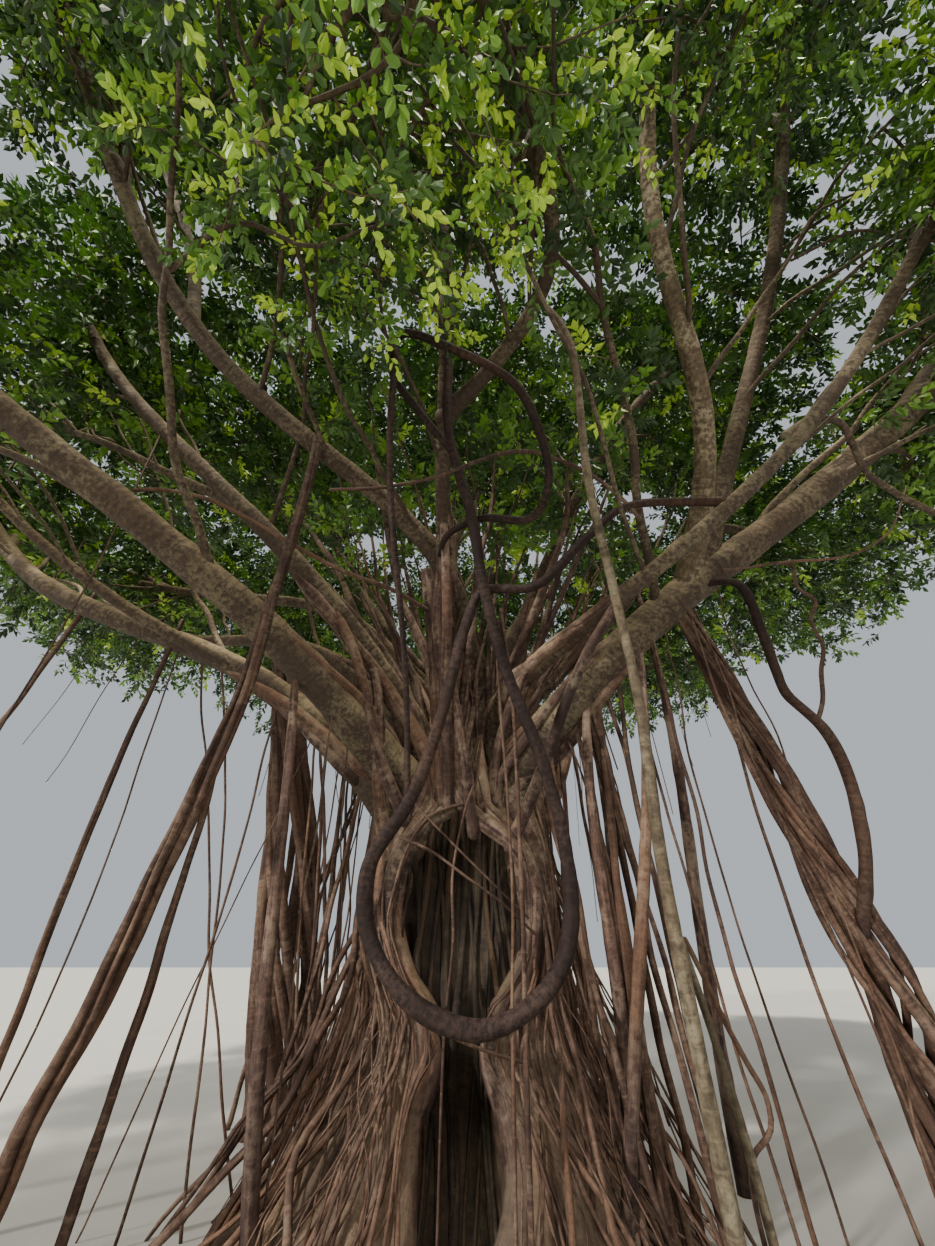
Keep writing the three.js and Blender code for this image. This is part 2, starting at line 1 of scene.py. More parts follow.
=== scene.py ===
import math
import bpy
import numpy as np
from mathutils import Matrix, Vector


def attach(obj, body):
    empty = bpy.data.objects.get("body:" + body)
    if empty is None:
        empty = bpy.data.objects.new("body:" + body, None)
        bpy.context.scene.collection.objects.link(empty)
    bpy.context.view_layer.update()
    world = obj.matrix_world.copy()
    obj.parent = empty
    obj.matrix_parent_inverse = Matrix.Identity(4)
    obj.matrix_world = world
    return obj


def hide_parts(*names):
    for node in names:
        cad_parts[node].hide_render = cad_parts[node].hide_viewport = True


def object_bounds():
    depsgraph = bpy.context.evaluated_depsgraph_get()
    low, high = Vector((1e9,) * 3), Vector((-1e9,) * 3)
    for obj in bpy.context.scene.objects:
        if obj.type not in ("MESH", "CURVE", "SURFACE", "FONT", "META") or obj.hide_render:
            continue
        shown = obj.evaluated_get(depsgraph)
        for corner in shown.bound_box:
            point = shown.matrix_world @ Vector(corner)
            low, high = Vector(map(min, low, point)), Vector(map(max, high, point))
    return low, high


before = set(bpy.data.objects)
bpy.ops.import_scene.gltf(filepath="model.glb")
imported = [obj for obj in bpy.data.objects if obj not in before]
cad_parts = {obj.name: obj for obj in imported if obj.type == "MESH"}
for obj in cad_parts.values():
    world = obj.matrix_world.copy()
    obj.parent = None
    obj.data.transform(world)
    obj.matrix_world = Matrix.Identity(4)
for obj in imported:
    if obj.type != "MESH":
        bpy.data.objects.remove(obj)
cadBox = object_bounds()

# Everything is in metres, +Z up, with the origin in the flat cut under the trunk.

lookSettings = {"place": (0.05, -5.2, 1.55), "pitchUp": 35, "lens": 13.52, "sensor": 36, "clip": (0.05, 400)}

camera = bpy.data.objects.new("camera", bpy.data.cameras.new("camera"))
camera.location = lookSettings["place"]
camera.rotation_euler = (math.radians(90 + lookSettings["pitchUp"]), 0, 0)
camera.data.lens, camera.data.sensor_width = lookSettings["lens"], lookSettings["sensor"]
camera.data.clip_start, camera.data.clip_end = lookSettings["clip"]
bpy.context.scene.collection.objects.link(camera)
bpy.context.scene.camera = camera
print("camera set")


# Draws and noise

hashSteps, hashScale = (12.9898, 78.233, 37.719), 43758.5453
fullTurn = 6.28  # drawn turns and phases stop a little short of 2 pi


def draw(seed, step):
    # fract(scale sin(seed first + step second)) of the hash numbers, an even draw from 0 to 1
    wave = np.sin(seed * hashSteps[0] + np.asarray(step, float) * hashSteps[1]) * hashScale
    return wave - np.floor(wave)


def levelDraw(amount, seed, step):
    # amount (draw - 1/2, next draw - 1/2, 0)
    return np.array([amount * (draw(seed, step) - 0.5), amount * (draw(seed, step + 1) - 0.5), 0])


def ranged(pair, share):
    # first + (second - first) share
    return pair[0] + (pair[1] - pair[0]) * share


def evenShares(count):
    # i / (count - 1)
    return np.linspace(0, 1, count)


def smooth(t):
    # 3t^2 - 2t^3, held at its ends
    t = np.clip(t, 0, 1)
    return t * t * (3 - 2 * t)


def unit(v):
    # v / |v|
    return v / np.maximum(np.linalg.norm(v, axis=-1, keepdims=True), 1e-9)


def cloud(place, size, seed):
    # soft noise from -1 to 1: draws on a lattice of this size, mixed by 3t^2 - 2t^3 on each axis
    spot = np.asarray(place) / size
    base = np.floor(spot)
    part = smooth(spot - base)
    total = np.zeros(spot.shape[:-1])
    for corner in np.ndindex(2, 2, 2):
        wave = np.sin((base + corner) @ hashSteps + seed) * hashScale
        share = np.abs(1 - np.array(corner) - part).prod(-1)
        total += share * (wave - np.floor(wave))
    return 2 * total - 1


def swayed(line, amount, size, seed, step=1):
    # line + amount (noise, noise, 0)
    sway = [cloud(line, size, seed), cloud(line, size, seed + step), 0 * line[:, 0]]
    return line + amount * np.stack(sway, -1)


# Lines

linePoints, routePoints = 240, 600


def bentLine(foot, tip, bow, ess=(0, 0, 0)):
    # foot + t (tip - foot) + bow sin(pi t) + ess sin(2 pi t)
    t = evenShares(linePoints)[:, None]
    foot, tip, bow, ess = (np.array(v, float) for v in (foot, tip, bow, ess))
    return foot + t * (tip - foot) + bow * np.sin(np.pi * t) + ess * np.sin(2 * np.pi * t)


def routeLine(points):
    # a smooth cubic from each point to the next, with slopes from the neighbours' root distances
    p = np.array(points, float)
    p = np.vstack([2 * p[0] - p[1], p, 2 * p[-1] - p[-2]])
    t = np.linspace(0, len(p) - 3, routePoints)
    k = np.minimum(t.astype(int), len(p) - 4)
    f = (t - k)[:, None]
    a, b, c, d = p[k], p[k + 1], p[k + 2], p[k + 3]
    ab, bc, cd = (np.sqrt(np.linalg.norm(v, axis=1, keepdims=True)) for v in (b - a, c - b, d - c))
    slopeB = ((b - a) / ab - (c - a) / (ab + bc) + (c - b) / bc) * bc
    slopeC = ((c - b) / bc - (d - b) / (bc + cd) + (d - c) / cd) * bc
    return (b + f * slopeB + f ** 2 * (3 * (c - b) - 2 * slopeB - slopeC)
            + f ** 3 * (2 * (b - c) + slopeB + slopeC))


def runAlong(line):
    # the length of a line up to each of its points
    return np.r_[0, np.cumsum(np.linalg.norm(np.diff(line, axis=0), axis=1))]


def evenly(line, count, end=1):
    # the line at equal steps of its length, up to this share of it
    run = runAlong(line)
    want = np.linspace(0, end, count) * run[-1]
    return np.stack([np.interp(want, run, line[:, axis]) for axis in range(3)], 1)


def along(line, share):
    # the place at this share of a line's length
    return evenly(line, 2, share)[1]


def lengthOf(line):
    # the sum of |p(i+1) - p(i)|
    return np.linalg.norm(np.diff(line, axis=0), axis=1).sum()


def headings(line):
    # the unit slope along a line
    return unit(np.gradient(line, axis=0))


def levelAxis(ahead, steep=0.9):
    # an axis to cross a heading with: upwards, or x where the heading is nearly upright
    return np.where(np.abs(ahead[..., 2:]) < steep, (0.0, 0.0, 1.0), (1.0, 0.0, 0.0))


def carriedSides(line):
    # side(i+1) is side(i) turned as little as the heading turns, so nothing twists round the line
    ahead = headings(line)
    side = np.cross(ahead[0], levelAxis(ahead[0]))
    sides = np.empty_like(line)
    for ring, heading in enumerate(ahead):
        side = side - heading * (side @ heading)
        side = side / math.sqrt(side @ side)
        sides[ring] = side
    return sides, np.cross(ahead, sides)


# Surfaces

class Pile:
    # many surfaces gathered into one mesh; grain is each vertex's place in its own limb: across, across
    # and along
    def __init__(self):
        self.places, self.faces, self.grains, self.count = [], [], [], 0

    def add(self, places, faces, grain=None):
        # each face's numbers go up by the vertices already there
        self.places.append(places.reshape(-1, 3))
        self.faces.append(faces.reshape(-1, 3) + self.count)
        self.grains.append((places if grain is None else grain).reshape(-1, 3))
        self.count += len(self.places[-1])

    def addStack(self, places, faces):
        # the same faces on each of a stack of surfaces
        self.add(places, faces[None] + (np.arange(len(places)) * places.shape[1])[:, None, None])


def ringFaces(rings, sides):
    # each square of the grid (ring, side) as two triangles, and a fan over each end to its pole
    ring, side = np.meshgrid(np.arange(rings - 1), np.arange(sides), indexing="ij")
    a = ring * sides + side
    b = ring * sides + (side + 1) % sides
    walls = np.stack([a, b, b + sides, a, b + sides, a + sides], -1).reshape(-1, 3)
    edge = np.arange(sides)
    after = (edge + 1) % sides
    last = (rings - 1) * sides
    foot = np.stack([np.full(sides, rings * sides), after, edge], 1)
    tip = np.stack([last + edge, last + after, np.full(sides, rings * sides + 1)], 1)
    return np.vstack([walls, foot, tip])


def turnsOf(sides):
    # 2 pi i / sides
    return np.arange(sides) * 2 * np.pi / sides


noseShares = np.array([1.0, 0.87, 0.5])  # how far the rings of a rounded end stand out, in radii
grainShift = 7.3  # between the grains of one limb and the next


def tube(pile, line, girth, sides, lobes, rough, seed, twist=1.2):
    # line(i) + girth(i) (1 + lobes + rough noise) (cos a side(i) + sin a over(i)), with rounded ends
    nose, ahead = noseShares, headings(line)
    line = np.vstack([line[0] - nose[:, None] * ahead[0] * girth[0], line,
                      line[-1] + nose[::-1, None] * ahead[-1] * girth[-1]])
    girth = np.r_[girth[0] * np.sqrt(1.02 - nose ** 2), girth, girth[-1] * np.sqrt(1.02 - nose[::-1] ** 2)]
    side, over = carriedSides(line)
    turn, run = np.meshgrid(turnsOf(sides), runAlong(line))
    round3 = np.cos(turn)[..., None] * side[:, None] + np.sin(turn)[..., None] * over[:, None]
    bare = line[:, None] + girth[:, None, None] * round3
    phase = fullTurn * draw(seed, 1)
    relief = lobes * (0.6 * np.cos(3 * turn + twist * run + phase)
                      + 0.4 * np.cos(5 * turn - 0.7 * twist * run + 2 * phase))
    relief = relief + rough * (0.7 * cloud(bare, 0.3, seed) + 0.45 * cloud(bare, 0.1, seed + 3))
    places = line[:, None] + (girth[:, None] * (1 + relief))[..., None] * round3
    shift = grainShift * seed
    grain = np.stack([np.cos(turn) * girth[:, None], np.sin(turn) * girth[:, None], run + shift], -1)
    endGrain = np.array([(0, 0, shift), (0, 0, run[-1, 0] + shift)])
    places = np.vstack([places.reshape(-1, 3), line[0], line[-1]])
    places[:, 2] = np.maximum(places[:, 2], 0)
    pile.add(places, ringFaces(len(line), sides), np.vstack([grain.reshape(-1, 3), endGrain]))


def taperedTube(pile, line, girth, s, seed):
    # so many rings, or rings one step apart; the radius is girth times a taper that is linear between
    # its shares; relief is that of the lobes and of the noise
    count = s["rings"] if "rings" in s else int(lengthOf(line) / s["step"])
    line = evenly(line, count)
    taper = girth * np.interp(evenShares(count), s.get("shares", (0, 1)), s["taper"])
    tube(pile, line, taper, s["sides"], *s["relief"], seed)
    return line


def manyTubes(pile, lines, girths, sides):
    # the same for a stack of short lines at once: each ends in a point, and its sides follow its chord
    chord = unit(lines[:, -1] - lines[:, 0])
    side = unit(np.cross(chord, levelAxis(chord)))[:, None]
    ahead = unit(np.gradient(lines, axis=1))
    over = unit(np.cross(ahead, side))
    side = np.cross(over, ahead)
    angle = turnsOf(sides)[:, None]
    round3 = np.cos(angle) * side[:, :-1, None] + np.sin(angle) * over[:, :-1, None]
    rim = lines[:, :-1, None] + girths[:-1, None, None] * round3
    places = np.concatenate([rim.reshape(len(lines), -1, 3), lines[:, :1], lines[:, -1:]], 1)
    pile.addStack(places, ringFaces(len(girths) - 1, sides))


def spikes(pile, starts, ends, girth):
    # three corners round each start, girth off it a third of a turn apart, and one at its end
    ahead = unit(ends - starts)
    side = unit(np.cross(ahead, levelAxis(ahead)))[:, None]
    angle = turnsOf(3)[:, None]
    rim = starts[:, None] + girth * (np.cos(angle) * side + np.sin(angle) * np.cross(ahead[:, None], side))
    faces = np.array([(0, 1, 3), (1, 2, 3), (2, 0, 3), (0, 2, 1)])
    pile.addStack(np.concatenate([rim, ends[:, None]], 1), faces)


def makePiece(name, pile, finish, crisp=False):
    # one mesh object at the origin, with its grain as an attribute
    places, faces, grains = np.vstack(pile.places), np.vstack(pile.faces), np.vstack(pile.grains)
    mesh = bpy.data.meshes.new(name)
    mesh.vertices.add(len(places))
    mesh.vertices.foreach_set("co", places.astype(np.float32).ravel())
    mesh.loops.add(faces.size)
    mesh.loops.foreach_set("vertex_index", faces.astype(np.int32).ravel())
    mesh.polygons.add(len(faces))
    mesh.polygons.foreach_set("loop_start", np.arange(0, faces.size, 3, dtype=np.int32))
    mesh.polygons.foreach_set("use_smooth", np.full(len(faces), not crisp))
    mesh.update(calc_edges=True)
    if not crisp:
        grain = mesh.attributes.new("grain", "FLOAT_VECTOR", "POINT")
        grain.data.foreach_set("vector", grains.astype(np.float32).ravel())
    mesh.materials.append(finish)
    piece = bpy.data.objects.new(name, mesh)
    bpy.context.scene.collection.objects.link(piece)
    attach(piece, "root")
    print(name, len(faces), "triangles")
    return piece


# Finishes

class Socket:
    # wraps a node's output, so that maths on it reads as an expression
    def __init__(self, finish, socket):
        self.finish, self.socket = finish, socket

    def maths(self, operation, first, second):
        # one Math node on two values
        return self.finish.node("ShaderNodeMath", {"operation": operation}, {0: first, 1: second})

    def __add__(self, other):
        return self.maths("ADD", self, other)

    def __sub__(self, other):
        return self.maths("SUBTRACT", self, other)

    def __mul__(self, other):
        return self.maths("MULTIPLY", self, other)

    def __radd__(self, other):
        return self.maths("ADD", other, self)

    def __rsub__(self, other):
        return self.maths("SUBTRACT", other, self)

    def __rmul__(self, other):
        return self.maths("MULTIPLY", other, self)


class Finish:
    # a material under construction: node() makes any node, and shade() ends it
    def __init__(self, name, roughness, gloss):
        self.material = bpy.data.materials.new(name)
        self.material.use_nodes = True
        self.tree = self.material.node_tree
        self.shader = self.tree.nodes["Principled BSDF"]
        self.shader.inputs["Roughness"].default_value = roughness
        self.shader.inputs["Specular IOR Level"].default_value = gloss

    def node(self, kind, settings, inputs, output=0):
        # its settings first, then the values or links of its sockets
        made = self.tree.nodes.new(kind)
        for name, value in settings.items():
            setattr(made, name, value)
        for name, value in inputs.items():
            if isinstance(value, Socket):
                self.tree.links.new(value.socket, made.inputs[name])
            else:
                made.inputs[name].default_value = value
        return Socket(self, made.outputs[output])

    def place(self):
        # the place on the object itself
        return self.node("ShaderNodeTexCoord", {}, {}, 3)

    def noise(self, place, scale, detail=4, roughness=0.55):
        # soft noise of place times scale, with this many finer octaves
        return self.node("ShaderNodeTexNoise", {},
                         {"Vector": place, "Scale": scale, "Detail": detail, "Roughness": roughness})

    def between(self, value, low, high):
        # 3t^2 - 2t^3 of t = (value - low) / (high - low): 0 below low and 1 above high
        return self.node("ShaderNodeMapRange", {"interpolation_type": "SMOOTHSTEP"},
                         {"Value": value, "From Min": low, "From Max": high})

    def mixed(self, share, first, second):
        # first + (second - first) share, of two colours
        made = self.tree.nodes.new("ShaderNodeMix")
        made.data_type = "RGBA"
        for name, value, kind in (("Factor", share, "VALUE"), ("A", first, "RGBA"), ("B", second, "RGBA")):
            socket = next(s for s in made.inputs if s.name == name and s.type == kind)
            if isinstance(value, Socket):
                self.tree.links.new(value.socket, socket)
            else:
                socket.default_value = value if name == "Factor" else (*value, 1)
        return Socket(self, next(s for s in made.outputs if s.type == "RGBA"))

    def stretched(self, vector, factors):
        # vector times factors, axis by axis
        return self.node("ShaderNodeVectorMath", {"operation": "MULTIPLY"}, {0: vector, 1: factors})

    def shade(self, colour, roughness=None, height=None, depth=None, strength=None):
        # the colour, and where they are given the roughness and the bumps, into the shader
        self.tree.links.new(colour.socket, self.shader.inputs["Base Color"])
        if roughness is not None:
            self.tree.links.new(roughness.socket, self.shader.inputs["Roughness"])
            bumps = {"Height": height, "Strength": strength, "Distance": depth}
            bump = self.node("ShaderNodeBump", {}, bumps)
            self.tree.links.new(bump.socket, self.shader.inputs["Normal"])
        return self.material


barkSettings = {
    "paintedTopLight": (0.33, 0.255, 0.145), "shaded": (0.045, 0.031, 0.027),  # painted highlight on the side of a limb that faces up, and painted shade on its underside
    "warm": (0.2, 0.105, 0.055),  # what some strands drift towards
}


def barkFinish(name, colours, rings, lichen, fibre=1.0, drift=0.5, upper=0.0, spots=17, contrast=(0.33, 0.58),
               paintedFootShade=0.0, folds=0.2):
    # colours: dark, middle, light, lichen. Fibres run along the limb and faint rings go round it in patches,
    # fine specks dot it, and each strand drifts towards the dark or the warm colour. Upper is the share of
    # painted light: painted shade on the underside and a painted highlight, in dappled patches, on the side
    # that faces up. The setting for the foot of the trunk paints shade that darkens the lowest two metres in
    # patches, and folds is how high the rings stand and how much painted shade lies in the creases between
    # them.
    finish = Finish(name, 0.85, 0.25)
    mixed, between, noise, stretched = finish.mixed, finish.between, finish.noise, finish.stretched
    place = finish.place()
    grain = finish.node("ShaderNodeAttribute", {"attribute_name": "grain"}, {}, 1)
    fibres = noise(stretched(grain, (30, 30, 2.2)), 1, 5, 0.6)
    ringlets = noise(stretched(grain, (2.5, 2.5, 30)), 1, 3, 0.55)
    mottle = noise(place, spots, 6, 0.6)
    patch = noise(place, 2.4, 3, 0.5)
    specks = noise(place, 60, 2, 0.5)
    dark, middle, light, pale = colours
    body = mottle * (1 - 0.6 * fibre) + fibres * (0.6 * fibre)
    colour = mixed(between(body, *contrast), dark, middle)
    colour = mixed(between(body * 0.6 + patch * 0.4, 0.46, 0.68), colour, light)
    tone = noise(stretched(grain, (0, 0, 0.31)), 1, 1, 0.5)
    colour = mixed(between(tone, 0.5, 0.64) * drift, colour, dark)
    colour = mixed(between(1 - tone, 0.5, 0.64) * drift * mottle, colour, barkSettings["warm"])
    colour = mixed(between(ringlets * 0.7 + patch * 0.3, 0.52, 0.62) * rings, colour, light)
    # painted light and shade: the underside painted dark and the side that faces up painted as lit, in
    # dappled patches, by the share upper
    if upper > 0:
        facing = finish.node("ShaderNodeNewGeometry", {}, {}, 1)
        rise = finish.node("ShaderNodeVectorMath", {"operation": "DOT_PRODUCT"}, {0: facing, 1: (0, 0, 1)}, 1)
        colour = mixed(between(0.3 - rise - mottle * 0.4, 0, 0.9) * upper, colour, barkSettings["shaded"])
        colour = mixed(between(rise + patch * 0.9, 0.35, 1.15) * upper, colour, barkSettings["paintedTopLight"])
    colour = mixed(between(specks * 0.7 + mottle * 0.3, 0.56, 0.64) * 0.6, colour, dark)
    # painted shade in the creases between the rings, as deep as folds sets
    colour = mixed(between(ringlets * 0.75 + mottle * 0.25, 0.53, 0.4) * (folds * 0.65), colour, dark)
    colour = mixed(between(patch * 0.4 + mottle * 0.4 + specks * 0.2, 0.5, 0.6) * lichen, colour, pale)
    # painted shade: the lowest two metres of the trunk darker in patches
    if paintedFootShade > 0:
        above = finish.node("ShaderNodeSeparateXYZ", {}, {"Vector": place}, 2)
        colour = mixed(between(patch * 1.6 - above * 0.36, 0, 1) * paintedFootShade, colour, dark)
    height = fibres * (0.5 * fibre) + ringlets * folds + mottle * 0.5 - specks * 0.2
    return finish.shade(colour, mottle * 0.25 + 0.68, height, 0.02, 0.7)


def leafFinish(name, tint, shade):
    # one plain tint, a little darker in soft patches, with a waxy face
    finish = Finish(name, 0.42, 0.35)
    place = finish.place()
    patch = finish.noise(place, 3.5, 2, 0.5)
    colour = finish.mixed(finish.between(patch, 0.35, 0.65), shade, tint)
    return finish.shade(colour, patch * 0.25 + 0.3, finish.noise(place, 60, 2, 0.5), 0.002, 0.25)


folded = {"drift": 0.2, "spots": 26, "contrast": (0.26, 0.6), "folds": 0.75}
barks = {
    # the material's name, its four colours, rings, lichen and the rest
    "bark": ("bark",
        ((0.04, 0.028, 0.021), (0.1, 0.074, 0.047), (0.19, 0.145, 0.09), (0.24, 0.215, 0.135)),
        0.15, 0.32, {"fibre": 0.2, "upper": 0.62, **folded}),
    # pale bark made paler still with painted light, for a bough that sits in the crown's shade
    "palePaintedLightBough": ("pale bark with painted light",
        ((0.07, 0.05, 0.034), (0.2, 0.155, 0.095), (0.36, 0.29, 0.185), (0.42, 0.38, 0.27)),
        0.15, 0.4, {"fibre": 0.2, "upper": 0.35, **folded}),
    # the trunk bark carries painted light and shade on its upper sides and undersides, and painted shade at
    # its foot
    "trunkBark": ("trunk bark",
        ((0.021, 0.012, 0.011), (0.1, 0.059, 0.046), (0.29, 0.19, 0.145), (0.26, 0.22, 0.16)),
        0.15, 0.35, {"drift": 0.8, "upper": 0.3, "paintedFootShade": 0.7}),
    # painted shade: near-black bark for the trunk's core behind the strands and for the walls of the hollow
    # and the cave
    "core": ("painted shade hollow bark",
        ((0.007, 0.005, 0.004), (0.026, 0.017, 0.011), (0.06, 0.04, 0.026), (0.045, 0.05, 0.028)),
        0.2, 0.3, {}),
    "aerialRoot": ("root bark",
        ((0.026, 0.015, 0.012), (0.08, 0.045, 0.032), (0.17, 0.105, 0.073), (0.18, 0.155, 0.115)),
        0.4, 0.2, {}),
    "vine": ("vine bark",
        ((0.008, 0.005, 0.005), (0.03, 0.0165, 0.014), (0.055, 0.032, 0.026), (0.11, 0.08, 0.06)),
        0.4, 0.12, {"fibre": 0.4, "spots": 30, "contrast": (0.25, 0.7), "folds": 0.45}),
    "paleRoot": ("pale bark",
        ((0.045, 0.035, 0.023), (0.115, 0.09, 0.058), (0.23, 0.185, 0.125), (0.17, 0.17, 0.115)),
        0.35, 0.3, {"fibre": 0.5}),
    "twig": ("twig bark",
        ((0.04, 0.028, 0.019), (0.1, 0.07, 0.046), (0.18, 0.135, 0.085), (0.14, 0.15, 0.09)),
        0.2, 0.2, {"fibre": 0.5}),
}
finishes = {key: barkFinish(*plain, **rest) for key, (*plain, rest) in barks.items()}
print("finishes made")

boughs = {
    # start (a place, or a bough and a share of its length), tip, bow, ess, radii of start and tip, swell
    "left_main": ((-0.45, -0.4, 2.75), (-4.6, -3.4, 5.8), (0.2, -0.3, 0), (0, 0.1, 0.1), (0.19, 0.105), 0.3),
    "left_low": ((-0.55, -0.3, 2.45), (-5.8, -1.05, 5.8), (0.1, -0.45, 0.1), (0.15, 0, 0.2),
        (0.138, 0.085), 0.25),
    "right_main": ((0.35, -0.35, 2.8), (5.1, -2.55, 6.55), (-0.15, -0.2, 0.05), (-0.1, -0.15, 0),
        (0.19, 0.14), 0.25),
    "back_left": ((-0.35, 0.4, 3.3), (-3.7, 3.1, 6.3), (0, 0, 0.45), (0, 0.1, 0.1), (0.17, 0.09), 0.25),
    "back_right": ((0.35, 0.35, 3.2), (3.7, 3.2, 6.3), (0, 0, 0.4), (0.1, 0, -0.1), (0.18, 0.09), 0.25),
    "back": ((0, 0.45, 3.5), (0.1, 4.3, 6.7), (0.15, 0, 0.45), (-0.1, 0, 0.1), (0.16, 0.085), 0.25),
    "left_rising": ((-0.4, -0.35, 3.35), (-4.35, -2.55, 7.45), (0, -0.5, 0), (0.15, 0, 0),
        (0.12, 0.064), 0.25),
    "overhead_left": ((0.1, -0.25, 3.8), (-3.05, -4.3, 7.25), (0.25, 0.05, 0.05), (0.35, -0.05, 0.2),
        (0.115, 0.07), 0.25),
    "overhead_center": ((0, -0.3, 3.95), (-0.35, -3.95, 8.35), (0, -0.5, -0.35), (-0.1, 0.2, 0.05),
        (0.09, 0.055), 0.2),
    "right_front": ((0.3, -0.5, 3.7), (4.1, -3.95, 6.8), (0.05, -0.2, -0.6), (-0.15, -0.15, -0.05),
        (0.08, 0.056), 0.2),
    "right_rising": ((0.25, 0, 4), (2.8, -1.7, 8.25), (-0.15, 0.05, 0.15), (0.05, 0.2, 0.05),
        (0.11, 0.062), 0.2),
    "right_back": ((0.35, 0.15, 3.8), (4.7, 0.3, 7.2), (0.1, -0.3, 0.45), (0, 0.15, -0.2),
        (0.11, 0.065), 0.2),
    "left_back_low": ((-0.4, 0.15, 3.45), (-5.5, 0.5, 5.7), (0, 0, 0.55), (0, -0.1, 0.25),
        (0.115, 0.058), 0.2),
    "left_back_high": ((-0.3, 0.25, 3.9), (-5.3, 0.9, 6.6), (0.2, 0.1, 0.8), (0.05, 0, 0.2),
        (0.11, 0.062), 0.2),
    "top": ((0, 0.1, 3.9), (0.2, 0.7, 8.5), (-0.25, 0.15, 0), (0.15, 0, 0), (0.14, 0.075), 0.2),
    "top_left": ((-0.15, 0.15, 3.9), (-2.4, 0.9, 8), (-0.2, 0.15, 0), (0.1, 0.1, 0), (0.11, 0.065), 0.2),
    "overhead_right": (("right_main", 0.43), (1.65, -4.55, 7.85), (0.1, -0.15, -0.05), (0.15, -0.05, 0.05),
        (0.105, 0.066), 0.3),
    "right_inner": (("right_main", 0.47), (3.55, -4.05, 8.95), (0.2, 0.2, 0.05), (-0.05, 0, 0),
        (0.098, 0.066), 0.3),
    "overhead_left_fork": (("overhead_left", 0.76), (-3.5, -3.9, 9.1), (0.1, 0, 0.05), (0, 0.05, 0.05),
        (0.055, 0.038), 0.3),
    "front": (("overhead_center", 0.5), (0.35, -4.65, 6.05), (0.62, 0, 0.25), (0, 0, 0), (0.075, 0.05), 0.3),
    "left_side": (("left_low", 0.36), (-4.9, -2.45, 5.5), (-0.1, -0.1, -0.2), (0, 0.05, 0),
        (0.066, 0.038), 0.3),
    "left_rising_side": (("left_rising", 0.52), (-4.95, -1.9, 6.75), (0, 0, 0.05), (0, 0.05, 0),
        (0.055, 0.034), 0.3),
}
vineRoute = [
    (-0.18, -3.45, 7.3), (-0.13, -3.1, 6.05), (-0.11, -2.8, 5.25), (0.09, -2.45, 4.55), (0.19, -2.15, 4.02),
    (0.365, -1.85, 3.42), (0.64, -1.62, 2.7), (0.76, -1.5, 2.1), (0.715, -1.45, 1.58), (0.5, -1.45, 1.3),
    (0.11, -1.45, 1.15), (-0.34, -1.45, 1.31), (-0.62, -1.46, 1.66), (-0.64, -1.53, 2.04),
    (-0.37, -1.6, 2.48), (-0.15, -1.78, 3.08), (0.03, -1.98, 3.76), (0.18, -2.05, 4.08),
    (0.62, -2.13, 4.08), (1.08, -2.3, 4.48), (1.5, -2.33, 4.85),
]
hoopRoute = [
    (-0.09, -2.72, 5.12), (-0.38, -2.93, 5.4), (-0.61, -3.15, 5.68), (-0.52, -3.32, 5.9),
    (-0.08, -3.32, 5.65), (0.42, -3.2, 5.35), (0.62, -3, 5.05), (0.72, -2.7, 4.72), (0.6, -2.42, 4.6),
    (0.18, -2.38, 4.64), (-0.12, -2.08, 4.76),
]
paleRoute = [
    (0.84, -3.48, 5.4), (0.93, -3, 4.32), (1.11, -2.56, 3.66), (1.19, -2.35, 2.92), (1.17, -2.2, 2),
    (1.19, -2.09, 1.15), (1.24, -1.92, -0.06),
]
serpentRoute = [
    (2.56, -1.85, 4.33), (2.76, -1.62, 3.92), (2.83, -1.5, 3.62), (2.88, -1.44, 3.42), (3.1, -1.4, 3.1),
    (3.19, -1.32, 2.75), (3.1, -1.24, 2.15), (3, -1, 1.65),
]
masses = {
    "front_left": ("left_main", (-5.65, -4.1, 6.3), (2.4, 2.35, 1.9)),
    "left": ("left_low", (-6.75, -0.9, 6.6), (2.3, 2.45, 1.95)),
    "left_back": ("left_back_high", (-5.9, 2, 7.5), (2.7, 2.6, 2.3)),
    "left_upper": ("left_rising", (-4.6, -1.85, 8.55), (2.7, 2.65, 2.1)),
    "overhead_left": ("overhead_left", (-3.15, -5.7, 7.9), (2.35, 2.35, 1.85)),
    "high_left": ("overhead_left_fork", (-2.95, -3.4, 10), (2.4, 2.4, 1.6)),
    "overhead": ("overhead_center", (-0.1, -4.15, 9.5), (2.4, 2.45, 1.7)),
    "front_low": ("front", (-0.45, -4.95, 6.1), (2.1, 1.95, 1.8)),
    "overhead_right": ("overhead_right", (2, -5.7, 8.1), (2.35, 2.35, 1.85)),
    "high_right": ("right_inner", (3.2, -3.75, 10.05), (2.55, 2.4, 1.55)),
    "front_right": ("right_front", (5.1, -4.5, 7), (2.3, 2.35, 1.9)),
    "right": ("right_main", (6.65, -1.85, 6.9), (2.35, 2.35, 1.95)),
    "right_upper": ("right_rising", (3.5, -1, 9.55), (2.95, 2.85, 2.05)),
    "right_back": ("right_back", (5.75, 1.5, 7.9), (2.75, 2.6, 2.4)),
    "back_right": ("back_right", (3.85, 3.85, 7.7), (2.95, 2.8, 2.55)),
    "back": ("back", (0.25, 5.05, 8), (3.15, 2.6, 2.7)),
    "back_left": ("back_left", (-3.65, 3.95, 7.65), (2.85, 2.7, 2.55)),
    "top": ("top", (0.35, 0.45, 9.8), (3.2, 3.35, 2.05)),
    "top_left": ("top_left", (-3.1, 0.3, 9.4), (2.85, 3, 2.15)),
}

# Limbs

